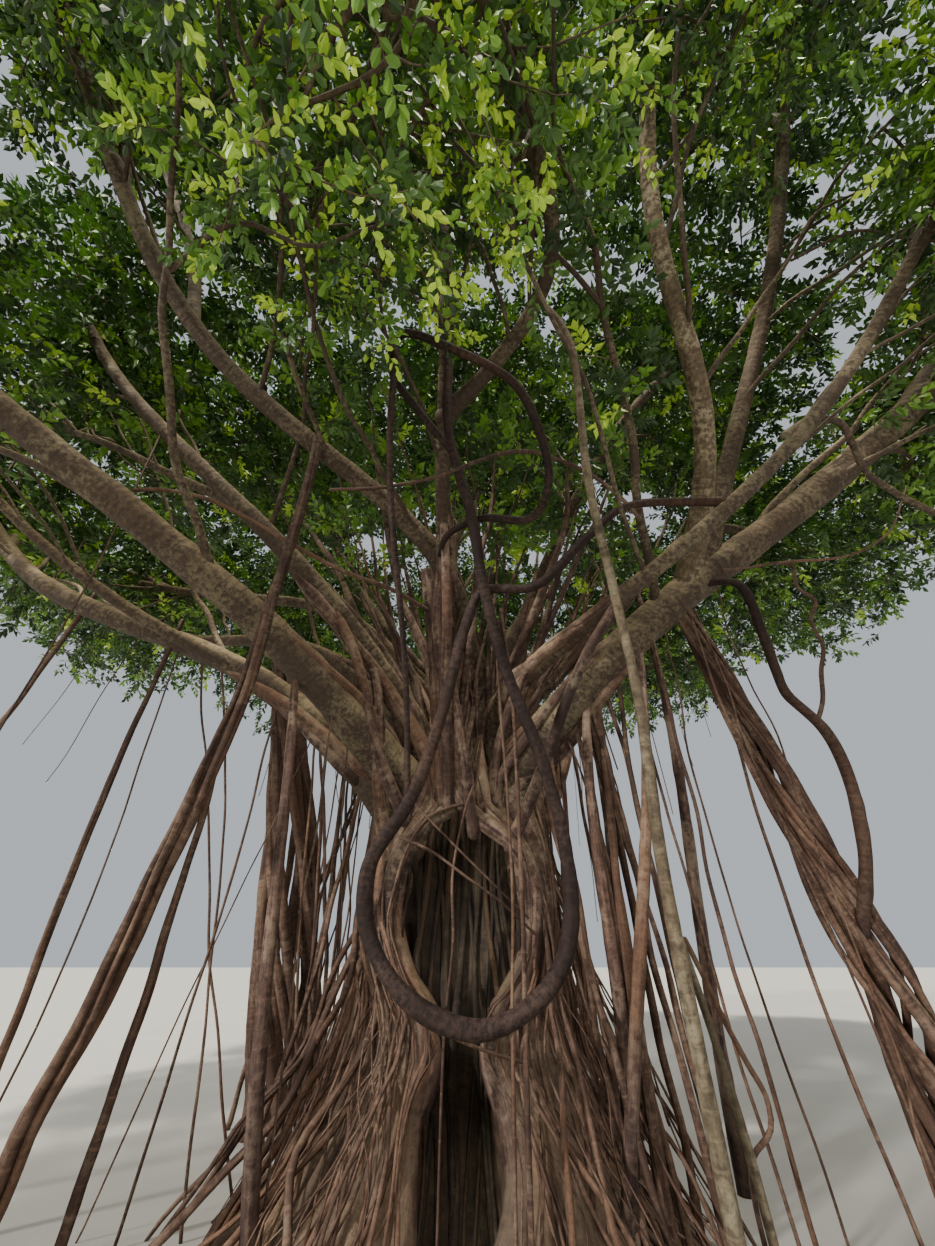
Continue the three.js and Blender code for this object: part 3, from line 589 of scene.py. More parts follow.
boughLines, boughGirths = {}, {}
for name, (start, tip, bow, ess, girths, swell) in boughs.items():
    foot = along(boughLines[start[0]], start[1]) if isinstance(start[0], str) else start
    boughLines[name] = evenly(bentLine(foot, tip, bow, ess), linePoints)
    share = evenShares(linePoints)
    boughGirths[name] = ranged(girths, share) * (1 + swell * np.exp(-share / 0.12))
fromTrunk = [name for name, bough in boughs.items() if not isinstance(bough[0][0], str)]


def boughPlace(name, share, reach=0.0, turn=0.0):
    # a place in a bough: its line at a share of the length, off it by reach times its radius at this turn
    index = int(round(share * (linePoints - 1)))
    line = boughLines[name]
    ahead = headings(line)[index]
    side = unit(np.cross(ahead, (0.0, 0.0, 1.0)))
    out = math.cos(turn) * side + math.sin(turn) * np.cross(side, ahead)
    return line[index] + out * boughGirths[name][index] * reach


def setsOff(name):
    # the level turn in which a bough starts
    first = boughLines[name][60] - boughLines[name][0]
    return math.atan2(first[1], first[0])


# The trunk

trunkSettings = {
    "neck": 0.7, "flare": 0.52, "flareFall": 0.52, "forkHeight": 3.3, "forkRise": 0.9, "forkDraw": 0.42,
    "wide": 1.1, "deep": 0.98, "columns": 160, "rows": 110, "top": 4.1,
    "hollow": ((0, -1.08, 1.88), (0.53, 0.74, 0.74)), "cave": ((0.02, -1.15, 0.42), (0.33, 0.8, 0.62)),
    "waist": (0.2, 1.1, 0.22), "core": 0.9,
}


def trunkRadius(height):
    # neck + flare e^(-height / fall) - what it draws in by smooth((height - fork) / rise)
    s = trunkSettings
    flare = s["flare"] * np.exp(-np.maximum(height, 0) / s["flareFall"])
    return s["neck"] + flare - s["forkDraw"] * smooth((height - s["forkHeight"]) / s["forkRise"])


def trunkPlace(reach, turn, height):
    # (reach wide cos turn, reach deep sin turn, height)
    s = trunkSettings
    across, back = reach * s["wide"] * np.cos(turn), reach * s["deep"] * np.sin(turn)
    return np.stack([across, back, height + 0 * turn], -1)


def roundHollow(places, spread=1.0):
    # in front, x becomes (x^3 + w^3)^(1/3) on the line's own side, w being the half width of the
    # hollow, of the cave or of the waist between them at that height
    s = trunkSettings
    height = places[:, 2]
    wide = s["waist"][0] * np.exp(-((height - s["waist"][1]) / s["waist"][2]) ** 2)
    for centre, reach in (s["hollow"], s["cave"]):
        wide = np.maximum(wide, reach[0] * np.sqrt(np.clip(1 - ((height - centre[2]) / reach[2]) ** 2, 0, 1)))
    wide = wide * spread * smooth((-places[:, 1] - 0.15) / 0.35)
    side = 1.0 if (places[:, 0] * (wide + 0.01)).sum() >= 0 else -1.0
    across = side * places[:, 0]
    across = across + (np.maximum(across, 0.02) - across) * smooth(wide / 0.2)
    moved = places.copy()
    moved[:, 0] = side * np.cbrt(across ** 3 + wide ** 3)
    return moved


def dented(places):
    # what lies inside the hollow or the cave is pushed back to its far wall
    s = trunkSettings
    moved = places.copy()
    for centre, reach in (s["hollow"], s["cave"]):
        across, above = ((places[..., axis] - centre[axis]) / reach[axis] for axis in (0, 2))
        rest = 1 - across ** 2 - above ** 2
        wall = centre[1] + reach[1] * np.sqrt(np.clip(rest, 0, 1))
        inside = (rest > 0) & (moved[..., 1] < wall)
        moved[..., 1] = np.where(inside, wall, moved[..., 1])
    return moved


def makeTrunk():
    # radius (1 + flutes + noise) on a grid of turn and height; the flutes are 1 - |sin| of the turn
    s = trunkSettings
    turn, height = np.meshgrid(np.linspace(0, 2 * np.pi, s["columns"], endpoint=False),
                               np.linspace(0, s["top"], s["rows"]))
    bare = trunkPlace(trunkRadius(height), turn, height)
    drift = 0.5 * cloud(bare, 0.9, 2) + 0.25 * cloud(bare, 0.35, 5)
    flutes = 1 - np.abs(np.sin(8 * turn + 0.5 * np.sin(1.1 * height) + 1.6 * drift))
    fine = 1 - np.abs(np.sin(21 * turn + 0.8 * np.sin(1.7 * height + 1) + 4 * drift))
    low = np.exp(-height / 0.6)
    relief = ((0.06 + 0.16 * low) * (flutes - 0.4) + 0.035 * fine
              + 0.05 * cloud(bare, 0.25, 9) + 0.02 * cloud(bare, 0.08, 4))
    drawnIn = 1 - (1 - s["core"]) * smooth((height - 0.1) / 0.7) - 0.3 * smooth((height - 2.5) / 1.1)
    places = dented(trunkPlace(trunkRadius(height) * drawnIn * (1 + relief), turn, height))
    grain = np.stack([np.cos(turn), np.sin(turn), height], -1)
    ends = np.array([(0, 0, 0), (0, 0, s["top"] + 0.1)])
    pile = Pile()
    pile.add(np.vstack([places.reshape(-1, 3), ends]), ringFaces(s["rows"], s["columns"]),
             np.vstack([grain.reshape(-1, 3), ends]))
    return pile


strandSettings = {"perBough": 4, "girth": (0.035, 0.095), "spread": 0.9, "reach": (0.16, 0.5), "sides": 9,
                  "step": 0.078, "shares": (0, 0.12, 0.8, 1), "taper": (1.5, 1.05, 0.85, 0.5),
                  "relief": (0.1, 0.14)}


def trunkStrands(pile):
    # stems fused to the trunk: up its side, round the hollow, and on along a bough until they sink in
    s = strandSettings
    heights = np.array([-0.1, 0.45, 1.0, 1.6, 2.2, 2.75])
    for number, name in enumerate(fromTrunk):
        azimuth = setsOff(name)
        for index in range(s["perBough"]):
            seed = 10 * number + index
            turn = azimuth + s["spread"] * (2 * draw(seed, 2) - 1)
            drift = 0.35 * (draw(seed, 3) - 0.5)
            girth = ranged(s["girth"], draw(seed, 4))
            lean = np.linspace(1, 0.45, len(heights))
            turns = azimuth + (turn - azimuth) * lean + drift * np.sin(heights * 1.4 + 6 * draw(seed, 5))
            ring = trunkRadius(heights) * (0.98 + 0.05 * draw(seed, 6)) + girth * 0.4
            ring[0] += 0.25 * draw(seed, 7)
            low = roundHollow(trunkPlace(ring, turns, heights), 1.12)
            around = fullTurn * draw(seed, 8)
            end = ranged(s["reach"], draw(seed, 9))
            high = [boughPlace(name, end * part, off, around + 1.2 * part)
                    for part, off in ((0.3, 0.95), (0.6, 0.9), (1, 0.35))]
            taperedTube(pile, routeLine(np.vstack([low, high])), girth, s, seed)


coatSettings = {"count": 60, "girth": (0.025, 0.085), "sides": 9, "step": 0.08,
                "shares": (0, 0.15, 0.8, 1), "taper": (1.5, 1.05, 0.95, 0.6), "relief": (0.12, 0.16)}


def coatStems(pile):
    # stems fused side by side round the trunk, from the ground to where they lean in under the fork
    s = coatSettings
    for index in range(s["count"]):
        seed = 500 + index
        turn = fullTurn * (index + 0.7 * draw(seed, 1)) / s["count"]
        top = 2.3 + 1.3 * draw(seed, 2)
        height = np.linspace(-0.1, top, 40)
        girth = ranged(s["girth"], draw(seed, 3) ** 1.5)
        wander = (turn + 0.16 * np.sin(1.6 * height + fullTurn * draw(seed, 4))
                  + 0.12 * (draw(seed, 5) - 0.5) * height)
        lean = (1 - 0.3 * smooth((height - top + 0.7) / 0.7)
                + (0.1 + 0.15 * draw(seed, 6)) * np.exp(-np.maximum(height, 0) / 0.5))
        line = roundHollow(trunkPlace(trunkRadius(height) * lean + girth * 0.3, wander, height), 1.05)
        taperedTube(pile, swayed(line, 0.035, 0.5, seed), girth, s, seed)


rimSettings = {"count": 20, "girth": (0.014, 0.036), "reach": (0.6, 1.0), "turns": (0.04, 0.34), "sides": 8,
               "spread": (0.97, 1.16), "step": 0.08,
               "shares": (0, 0.15, 0.85, 1), "taper": (1.5, 1, 0.9, 0.5), "relief": (0.12, 0.16)}


def rimStems(pile):
    # thin stems that run down both side walls of the hollow and of the cave
    s = rimSettings
    for index in range(s["count"]):
        seed = 640 + index
        side = 1 if index % 2 else -1
        height = np.linspace(-0.1, 2.35 + 0.5 * draw(seed, 1), 60)
        off = ranged(s["turns"], draw(seed, 2)) + 0.03 * np.sin(2.5 * height + fullTurn * draw(seed, 3))
        deep = ranged(s["reach"], draw(seed, 4))
        place = trunkPlace(trunkRadius(height) * deep, -math.pi / 2 + side * off, height)
        line = swayed(roundHollow(place, ranged(s["spread"], draw(seed, 5))), 0.02, 0.35, seed)
        taperedTube(pile, line, ranged(s["girth"], draw(seed, 6) ** 1.5), s, seed)


liningSettings = {"count": 17, "across": 0.92, "behind": -1.3, "proud": 0.015, "points": 60, "soften": 9,
                  "rings": 50, "sides": 7, "taper": (1, 1), "relief": (0.1, 0.16)}


def hollowLining(pile):
    # thin stems that run down the far wall of the hollow and of the cave
    s = liningSettings
    height = np.linspace(2.7, -0.05, s["points"])
    for index in range(s["count"]):
        seed = 600 + index
        across = s["across"] * (index + draw(seed, 1)) / s["count"] - s["across"] / 2
        across = across + 0.05 * np.sin(2.2 * height + fullTurn * draw(seed, 2))
        line = np.stack([across, np.full(s["points"], s["behind"]), height], -1)
        wall = dented(line)[:, 1]
        front = -trunkSettings["deep"] * trunkRadius(height) * np.sqrt(np.clip(1 - (across / 0.9) ** 2, 0, 1))
        deep = np.where(wall > s["behind"] + 0.01, wall, front) - s["proud"]
        even = np.ones(s["soften"]) / s["soften"]
        line[:, 1] = np.convolve(np.pad(deep, s["soften"] // 2, "edge"), even, "valid")
        taperedTube(pile, line, 0.012 + 0.03 * draw(seed, 3) ** 2, s, seed)


innerSettings = {"stems": (
    ("overhead_center", 0.34, (-0.12, -0.72, 2.7), 0.055), ("overhead_left", 0.26, (-0.22, -0.7, 2.75), 0.07),
    ("overhead_center", 0.22, (0.1, -0.74, 2.5), 0.05), ("right_front", 0.3, (0.42, -0.72, 2.4), 0.05),
    ("right_rising", 0.3, (0.3, -0.62, 2.6), 0.06), ("top", 0.35, (0.05, -0.55, 3.0), 0.075),
    ("left_rising", 0.3, (-0.5, -0.66, 2.6), 0.055), ("left_main", 0.3, (-1.15, -0.95, 0.0), 0.045),
    ("left_rising", 0.18, (-0.6, -0.6, 2.2), 0.06), ("right_main", 0.22, (1.05, -0.6, 0.0), 0.05),
    ("right_main", 0.33, (0.95, -0.85, 0.0), 0.045), ("right_back", 0.3, (0.7, -0.3, 2.5), 0.06),
    ("left_back_high", 0.3, (-0.7, 0.2, 2.6), 0.06), ("back_left", 0.3, (-0.6, 0.9, 1.4), 0.07),
    ("back_right", 0.3, (0.7, 0.9, 1.2), 0.07), ("back", 0.3, (0.1, 1.1, 0.6), 0.065),
    ("back", 0.5, (0.25, 2.1, 0.0), 0.06), ("back_right", 0.5, (1.9, 1.7, 0.0), 0.07),
    ("top_left", 0.3, (-0.4, 0.3, 3.1), 0.06), ("right_back", 0.5, (2.2, 0.3, 0.0), 0.055),
), "step": 0.06, "taper": (1.15, 0.8), "sides": 10, "relief": (0.1, 0.14)}
stubSettings = {"line": ((-0.16, -0.7, 2.7), (-0.39, -1.25, 4.98), (0.03, -0.08, 0)), "girth": 0.088,
                "rings": 30, "taper": (1.2, 0.85), "sides": 14, "relief": (0.12, 0.2)}


def innerStems(pile):
    # roots that have grown down from a bough to the trunk or the ground and thickened
    for index, (name, share, foot, girth) in enumerate(innerSettings["stems"]):
        top = boughPlace(name, share)
        foot = np.array(foot) - (0, 0, 0.1)
        bow = (0.2 * (draw(index, 33) - 0.5), -0.12 * draw(index, 34), 0)
        line = bentLine(foot, top, bow, levelDraw(0.12, index, 31))
        taperedTube(pile, line, girth, innerSettings, 50 + index)
    taperedTube(pile, bentLine(*stubSettings["line"]), stubSettings["girth"], stubSettings, 77)


betweenSettings = {"every": 0.25, "reach": (0.3, 0.6), "lowest": 4.4, "stations": 5, "size": 0.9,
                   "tipBehind": -2.7}
leafyLines = []  # stretches of thin branches between the boughs and the masses, with leaves of their own


fanSettings = {"count": 40, "girth": (0.016, 0.055), "middle": -1.57, "spread": 1.35, "sides": 9,
               "step": 0.09, "shares": (0, 0.7, 1), "taper": (1.1, 0.65, 0.12), "relief": (0.08, 0.14)}


def fanStems(pile):
    # slender stems that stand up out of the fork and fan out between the boughs into the leaves
    s = fanSettings
    for index in range(s["count"]):
        seed = 900 + index
        turn = s["middle"] + s["spread"] * (2 * (index + draw(seed, 1)) / s["count"] - 1)
        low = 1.7 + 1.0 * draw(seed, 2)
        heights = np.array([low, low + 0.5, 3.2 + 0.3 * draw(seed, 3)])
        ring = trunkRadius(heights) * np.array([0.85, 0.88, 0.8 - 0.15 * draw(seed, 4)])
        first = roundHollow(trunkPlace(ring, np.full(3, turn), heights), 1.05)
        lean = 0.25 + 0.55 * draw(seed, 5)
        out = turn + 0.5 * (draw(seed, 6) - 0.5)
        reach = 2.2 + 2.4 * draw(seed, 7)
        way = np.array([math.cos(out) * lean, math.sin(out) * lean * 0.75, 1.0])
        last = first[-1] + unit(way) * reach
        middle = (first[-1] + last) / 2 + levelDraw(0.16, seed, 8) * reach
        line = swayed(routeLine(np.vstack([first, middle, last])), 0.05, 0.6, seed)
        line = taperedTube(pile, line, ranged(s["girth"], draw(seed, 10) ** 1.4), s, seed)
        if index % 2:
            leafyLines.append(line[int(len(line) * 0.75):])


fineSettings = {"count": 110, "girth": (0.007, 0.022), "sides": 6, "step": 0.1, "taper": (1, 0.8),
                "relief": (0, 0.15)}


def fineRoots(pile):
    # thin roots that wind down the trunk: height falls evenly while the turn wanders by two waves
    s = fineSettings
    t = evenShares(60)
    for index in range(s["count"]):
        height = (1.6 + 1.7 * draw(index, 41)) * (1 - t) - 0.05 * t
        wander = (fullTurn * draw(index, 42) + 0.22 * np.sin(5 * t + 6 * draw(index, 43))
                  + 0.5 * (draw(index, 44) - 0.5) * t)
        off = 0.05 + 0.12 * draw(index, 45) + 0.3 * draw(index, 46) * t ** 2
        line = roundHollow(trunkPlace(trunkRadius(height) + off, wander, height), 1.05)
        girth = ranged(s["girth"], draw(index, 47) ** 2)
        taperedTube(pile, swayed(line, 0.03, 0.25, 61), girth, s, 90 + index)


# Hanging roots

# single roots and the drooping branch: their tapers are their radii
vineSettings = {"step": 0.025, "shares": (0, 0.34, 0.545, 0.8, 1), "sides": 20, "relief": (0.06, 0.14),
                "taper": (0.036, 0.047, 0.058, 0.042, 0.037)}
hoopSettings = {"step": 0.03, "shares": (0, 0.5, 1), "taper": (0.032, 0.036, 0.03), "sides": 14,
                "relief": (0.06, 0.16)}
serpentSettings = {"step": 0.03, "taper": (0.038, 0.05), "sides": 14, "relief": (0.06, 0.16)}
leftSettings = {"rings": 120, "taper": (0.028, 0.024), "sides": 10, "relief": (0.05, 0.14)}
paleSettings = {"step": 0.035, "taper": (0.026, 0.043), "sides": 18, "relief": (0.05, 0.12)}
shootSettings = {"rings": 50, "taper": (0.02, 0.024), "sides": 10, "relief": (0.05, 0.14)}
droopSettings = {"rings": 90, "taper": (0.034, 0.024), "sides": 12, "relief": (0.05, 0.12)}
extraRoots = (
    # points in turn, radius at the start and at the end
    ([(-1.11, -2.6, 4.75), (-0.73, -2.6, 4.77), (-0.44, -2.6, 4.84), (-0.17, -2.7, 4.81), (0.14, -2.7, 5.0),
      (0.39, -2.7, 5.12), (0.64, -2.7, 5.13), (0.89, -2.6, 5.14), (1.15, -2.5, 5.1), (1.42, -2.4, 4.9),
      (1.62, -2.25, 4.78)], 0.014, 0.02),
    ([(-2.75, -2.62, 4.72), (-2.55, -2.6, 4.75), (-2.27, -2.5, 4.78), (-1.9, -2.35, 4.68),
      (-1.48, -2.1, 4.55), (-1.09, -1.9, 4.44), (-0.67, -1.7, 4.39), (-0.35, -1.5, 4.3)], 0.016, 0.022),
    ([(1.27, -2.03, 1.6), (1.33, -2.0, 1.46), (1.44, -1.9, 1.23), (1.52, -1.85, 1.07), (1.6, -1.8, 0.92),
      (1.58, -1.8, 0.81), (1.44, -1.8, 0.69), (1.42, -1.8, 0.3), (1.45, -1.75, -0.02)], 0.016, 0.012),
    ([(0.33, -2.0, 3.93), (0.41, -1.75, 3.3), (0.43, -1.6, 2.77), (0.43, -1.5, 2.14), (0.42, -1.45, 1.55),
      (0.4, -1.42, 1.06), (0.37, -1.4, -0.02)], 0.015, 0.017),
    ([(0.28, -2.0, 3.93), (0.31, -1.75, 3.21), (0.35, -1.55, 2.55), (0.36, -1.48, 1.83), (0.33, -1.45, 1.3),
      (0.29, -1.4, -0.02)], 0.01, 0.012),
    ([(-0.5, -1.1, 2.3), (-0.23, -1.3, 2.17), (0.07, -1.36, 1.97), (0.28, -1.32, 1.84), (0.55, -1.05, 1.65)],
     0.011, 0.009),
    ([(-0.43, -1.1, 2.6), (-0.16, -1.3, 2.31), (0.14, -1.36, 2.03), (0.5, -1.1, 1.75)], 0.009, 0.008),
    ([(-0.6, -1.0, 1.72), (-0.4, -1.25, 1.39), (-0.12, -1.3, 1.14), (0.13, -1.3, 1.05), (0.45, -1.1, 0.95)],
     0.012, 0.01),
    ([(2.48, -1.85, 4.51), (2.74, -1.85, 4.54), (3.03, -1.85, 4.6), (3.18, -1.82, 4.59), (3.14, -1.8, 4.34),
      (3.26, -1.78, 4.19), (3.18, -1.72, 4.02), (3.22, -1.66, 3.77), (3.15, -1.6, 3.56), (3.12, -1.5, 3.32),
      (3.06, -1.41, 3.16)], 0.014, 0.018),
    ([(3.03, -1.85, 4.6), (3.23, -1.87, 4.61), (3.47, -1.85, 4.64), (3.73, -1.9, 4.66), (3.95, -1.95, 4.75),
      (4.15, -2.0, 4.89), (4.5, -2.1, 5.4)], 0.014, 0.008),
    ([(0.1, -0.95, 2.75), (0.02, -1.2, 2.45), (-0.06, -1.33, 2.0), (-0.05, -1.3, 1.6), (-0.1, -1.2, 1.1),
      (-0.12, -1.15, -0.02)], 0.012, 0.008),
)
droopPoints = [(2.75, -2.85, 5.15), (3.14, -2.8, 5.46), (3.52, -2.7, 5.56), (3.68, -2.5, 5.12),
               (3.91, -2.4, 4.99), (4.28, -2.3, 4.8), (4.7, -2.2, 4.75)]


def routedRoots(pile):
    # single roots, each on the route through its own points
    for number, (points, first, last) in enumerate(extraRoots):
        s = {"step": 0.04, "taper": (first, last), "sides": 8, "relief": (0.04, 0.14)}
        taperedTube(pile, routeLine(points), 1, s, 300 + number)


bundleSettings = {
    # top, foot, bow, strands, radius at top and foot, spread at top and foot, seed, turns
    "prop_right": ((2.15, -1.48, 4.33), (3.48, -0.6, 0), (0.08, 0.05, 0.1),
        19, (0.024, 0.038), (0.075, 0.26), 31, 1.1),
    "prop_back_left": ((-2.4, 0.25, 5.0), (-1.75, 1.6, 0), (0, 0, 0),
        12, (0.045, 0.075), (0.17, 0.34), 41, 0.5),
    "prop_left": ((-1.42, -2.47, 5.68), (-2.64, -1.35, 0), (0.26, 0.04, 0),
        5, (0.02, 0.034), (0.024, 0.055), 51, 0.8),
    "prop_left_side": (("prop_left", 0.48), (-2.25, -1.05, 0), (0.06, 0, 0),
        2, (0.018, 0.026), (0.008, 0.018), 52, 0.8),
    "prop_far_left": ((-2.95, -1.18, 4.4), (-3.35, -0.5, 0), (-0.08, 0, 0),
        3, (0.016, 0.024), (0.01, 0.02), 53, 0.8),
    "prop_outer_left": ((-4.05, -1.15, 4.8), (-4.95, -0.7, 0), (-0.06, 0, 0),
        3, (0.016, 0.024), (0.01, 0.02), 54, 0.8),
    "prop_mid_right": ((1.3, -1.1, 3.7), (1.25, -0.8, 0), (-0.03, 0, 0),
        3, (0.02, 0.028), (0.012, 0.025), 55, 0.8),
}


def propStrands(pile):
    # strands in a ring round each middle line: middle + spread(t) (cos, sin)(turn + turns 2 pi t)
    for top, foot, bow, strands, girths, spreads, seed, turns in bundleSettings.values():
        if isinstance(top[0], str):
            top = along(bentLine(*bundleSettings[top[0]][:3]), top[1])
        middle = bentLine(top, np.array(foot) - (0, 0, 0.05), bow)
        t = evenShares(linePoints)[:, None]
        for index in range(strands):
            around = (fullTurn * (index + 0.6 * draw(seed, index)) / strands
                      + turns * fullTurn * t * (0.6 + 0.8 * draw(seed, index + 50)))
            wide = ranged(spreads, t ** 1.5) * (0.55 + 0.9 * draw(seed, index + 70))
            line = swayed(middle + wide * np.hstack([np.cos(around), np.sin(around), 0 * t]), 0.02, 0.4, seed)
            count = int(lengthOf(line) / 0.075)
            size = 0.65 + 0.7 * draw(seed, index + 90)
            girth = size * ranged(girths, evenShares(count) ** 1.3)
            tube(pile, evenly(line, count), girth, 8, 0.08, 0.16, seed + index)


curtainSettings = {
    # turn from and to, how far out the feet stand, how many, height of their tops
    "right": ((-1.22, -0.25), (1.1, 1.7), 56, (0.9, 2.7)),
    "left": ((-2.9, -1.92), (1.15, 1.95), 32, (0.8, 2.2)),
    "behind": ((0.3, 2.9), (1.2, 1.7), 34, (0.9, 2.6)),
}


curtainForm = {"step": 0.1, "taper": (1, 1), "sides": 5, "relief": (0, 0.12)}


def curtainRoots(pile):
    # thin roots that leave the trunk's side and stream to the ground, each a falling curve with a small wave
    t = evenShares(80)
    for number, (turns, feet, count, tops) in enumerate(curtainSettings.values()):
        for index in range(count):
            seed = 100 * (number + 3) + index
            turn, top, out = (ranged(pair, draw(seed, step))
                              for step, pair in ((1, turns), (2, tops), (3, feet)))
            ring = trunkRadius(top) * 0.95
            reach = ring + 0.1 + (out - ring) * t ** 1.4
            wander = turn + 0.5 * (draw(seed, 5) - 0.5) * t + 0.08 * np.sin(7 * t + fullTurn * draw(seed, 4))
            line = roundHollow(trunkPlace(reach, wander, top * (1 - t) - 0.03 * t), 1.1)
            line = line + 0.09 * np.stack([cloud(line, 0.45, seed), cloud(line, 0.45, seed + 1),
                                           0.5 * cloud(line, 0.4, seed + 2)], -1)
            taperedTube(pile, line, 0.004 + 0.026 * draw(seed, 6) ** 2.5, curtainForm, seed)


hangSettings = {"count": 44, "girth": (0.004, 0.012), "step": 0.12, "sides": 5, "relief": (0, 0.1)}
clusterForm = {"step": 0.1, "taper": (1, 1.15), "sides": 7, "relief": (0.05, 0.14)}
# bough, shares of its length, place of the feet from and to, how many, radius from and to
clusters = (
    ("right_main", (0.06, 0.3), ((0.95, -0.95), (1.9, -0.1)), 11, (0.01, 0.03)),
    ("right_main", (0.3, 0.5), ((1.9, -1.2), (3.0, -0.3)), 6, (0.006, 0.016)),
    ("left_back_low", (0.15, 0.4), ((-1.75, 0.1), (-1.1, 1.1)), 8, (0.012, 0.03)),
    ("left_low", (0.2, 0.5), ((-2.7, -0.6), (-1.3, 0.3)), 4, (0.005, 0.014)),
    ("back_right", (0.15, 0.5), ((0.9, 0.8), (2.4, 2.2)), 8, (0.01, 0.03)),
    ("back_left", (0.2, 0.5), ((-2.6, 1.3), (-1.2, 2.3)), 6, (0.008, 0.025)),
    ("back", (0.2, 0.5), ((-0.5, 1.5), (0.7, 2.6)), 6, (0.008, 0.025)),
)


def rootClusters(pile):
    # groups of roots from one length of a bough down to one patch of ground
    for number, (name, shares, (near, far), count, girths) in enumerate(clusters):
        for index in range(count):
            seed = 1200 + 20 * number + index
            top = boughPlace(name, shares[0] + (shares[1] - shares[0]) * (index + draw(seed, 1)) / count)
            part = (index + draw(seed, 2)) / count
            foot = (near[0] + (far[0] - near[0]) * part, near[1] + (far[1] - near[1]) * draw(seed, 3), -0.03)
            line = bentLine(top, foot, levelDraw(0.3, seed, 4), levelDraw(0.08, seed, 6))
            girth = ranged(girths, draw(seed, 8) ** 1.5)
            taperedTube(pile, swayed(line, 0.035, 0.5, seed), girth, clusterForm, seed)


def hangingRoots(pile):
    # thin roots that hang from the boughs, some down to the ground and some ending in the air
    names = [name for name in boughs if boughGirths[name][0] > 0.11]
    for index in range(hangSettings["count"]):
        name = names[int(draw(index, 71) * len(names))]
        top = boughPlace(name, 0.18 + 0.6 * draw(index, 72))
        if top[1] < -1.6 and -2.6 < top[0] < 4.4:
            continue
        low = 0.0 if draw(index, 73) < 0.45 else top[2] * (0.25 + 0.5 * draw(index, 74))
        tip = (*(top + levelDraw(0.5, index, 75))[:2], low - 0.02)
        line = bentLine(top, tip, levelDraw(0.15, index, 77))
        girth = ranged(hangSettings["girth"], draw(index, 79))
        s = {**hangSettings, "taper": (1, 0.6 if low > 0 else 1)}
        taperedTube(pile, swayed(line, 0.03, 0.6, index, 9), girth, s, index)


# Boughs

limbSettings = {"step": 0.05, "sides": (26, 20, 16), "sink": 1.3}


def boughTube(pile, name, seed):
    # the bough's own line, begun thin and lower down inside the trunk so that it flows out of it
    line, girth = boughLines[name], boughGirths[name]
    if name in fromTrunk:
        foot, sink = line[0], limbSettings["sink"]
        turn = setsOff(name) if np.hypot(foot[0], foot[1]) < 0.2 else math.atan2(foot[1], foot[0])
        low = trunkPlace(trunkRadius(foot[2] - sink) * 0.72, np.array(turn), foot[2] - sink)
        knee = (low + foot) / 2 + (foot - low) * (0, 0, 0.15)
        line = routeLine(np.vstack([roundHollow(np.vstack([low, knee]), 1.4), line[8::16]]))
        girth = np.r_[np.linspace(0.35, 1, 50) * girth[0], girth]
    count = int(lengthOf(line) / limbSettings["step"])
    girth = np.interp(evenShares(count), evenShares(len(girth)), girth)
    sides = limbSettings["sides"][0 if girth.max() > 0.15 else 1 if girth.max() > 0.1 else 2]
    tube(pile, evenly(line, count), girth, sides, 0.06, 0.1, seed, 0.9)


branchSettings = {"each": 5, "from": 0.34, "girth": (0.3, 0.05), "end": 0.009}


def sideBranches(pile):
    # limbs that leave a bough and end in the foliage near it: a chord with a bow and a wave, and one
    # fork each
    s = branchSettings
    for number, name in enumerate(boughs):
        for index in range(s["each"]):
            seed = 700 + 10 * number + index
            share = s["from"] + (0.97 - s["from"]) * (index + draw(seed, 1)) / s["each"]
            spot = int(share * (linePoints - 1))
            first = boughPlace(name, share)
            root = min(s["girth"][1], boughGirths[name][spot] * s["girth"][0])
            nearest = min(masses, key=lambda mass: np.linalg.norm(massCentres[mass] - first)
                          - massReach[mass].mean())
            for fork in range(2):
                spin = unit(np.array([draw(seed, step + 5 * fork) for step in (2, 3, 4)]) * 2 - 1)
                tip = massCentres[nearest] + spin * massReach[nearest] * 0.55
                lift = unit(headings(boughLines[name])[spot]) * 0.8 + (0, 0, 0.2)
                line = bentLine(first, tip, 0.12 * np.linalg.norm(tip - first) * lift, 0.1 * spin[[1, 2, 0]])
                line = line + 0.06 * np.stack([cloud(line, 0.5, seed + step) for step in range(3)], -1)
                line = evenly(line, max(int(lengthOf(line) / 0.13), 6))
                if boughLines[name][-1, 1] > betweenSettings["tipBehind"]:
                    leafyLines.append(line[len(line) // 4:])
                tube(pile, line, np.linspace(root, s["end"], len(line)), 6, 0.04, 0.1, seed)
                first, root = line[len(line) // 2], (root + s["end"]) / 2 * 0.8


endSettings = {"reach": (1.5, 1.1, 0.9), "girth": (0.94, 0.65, 0.5), "part": (0.3, 1, 1), "end": 0.008,
               "rings": 24}


def boughEnds(pile):
    # a bough goes on from its tip as three thin branches that part and bend upwards, or as two where a
    # mass has its stem there
    s = endSettings
    stemmed = {mass[0] for mass in masses.values()}
    for number, name in enumerate(boughs):
        tip, heading, girth = boughLines[name][-1], headings(boughLines[name])[-1], boughGirths[name][-1]
        for index in range(2 if name in stemmed else 3):
            seed = 1500 + 10 * number + index
            spin = np.array([draw(seed, step) for step in (1, 2, 3)]) * 2 - 1
            reach = s["reach"][index]
            last = tip + unit(heading + 0.55 * spin * s["part"][index]) * reach + (0, 0, 0.25)
            line = bentLine(tip - heading * 0.4, last, heading * 0.15 * reach, 0.03 * spin)
            taper = np.interp(evenShares(s["rings"]), (0, 0.25, 1),
                              (girth, girth * s["girth"][index], s["end"]))
            tube(pile, evenly(line, s["rings"]), taper, 9, 0.05, 0.12, seed)


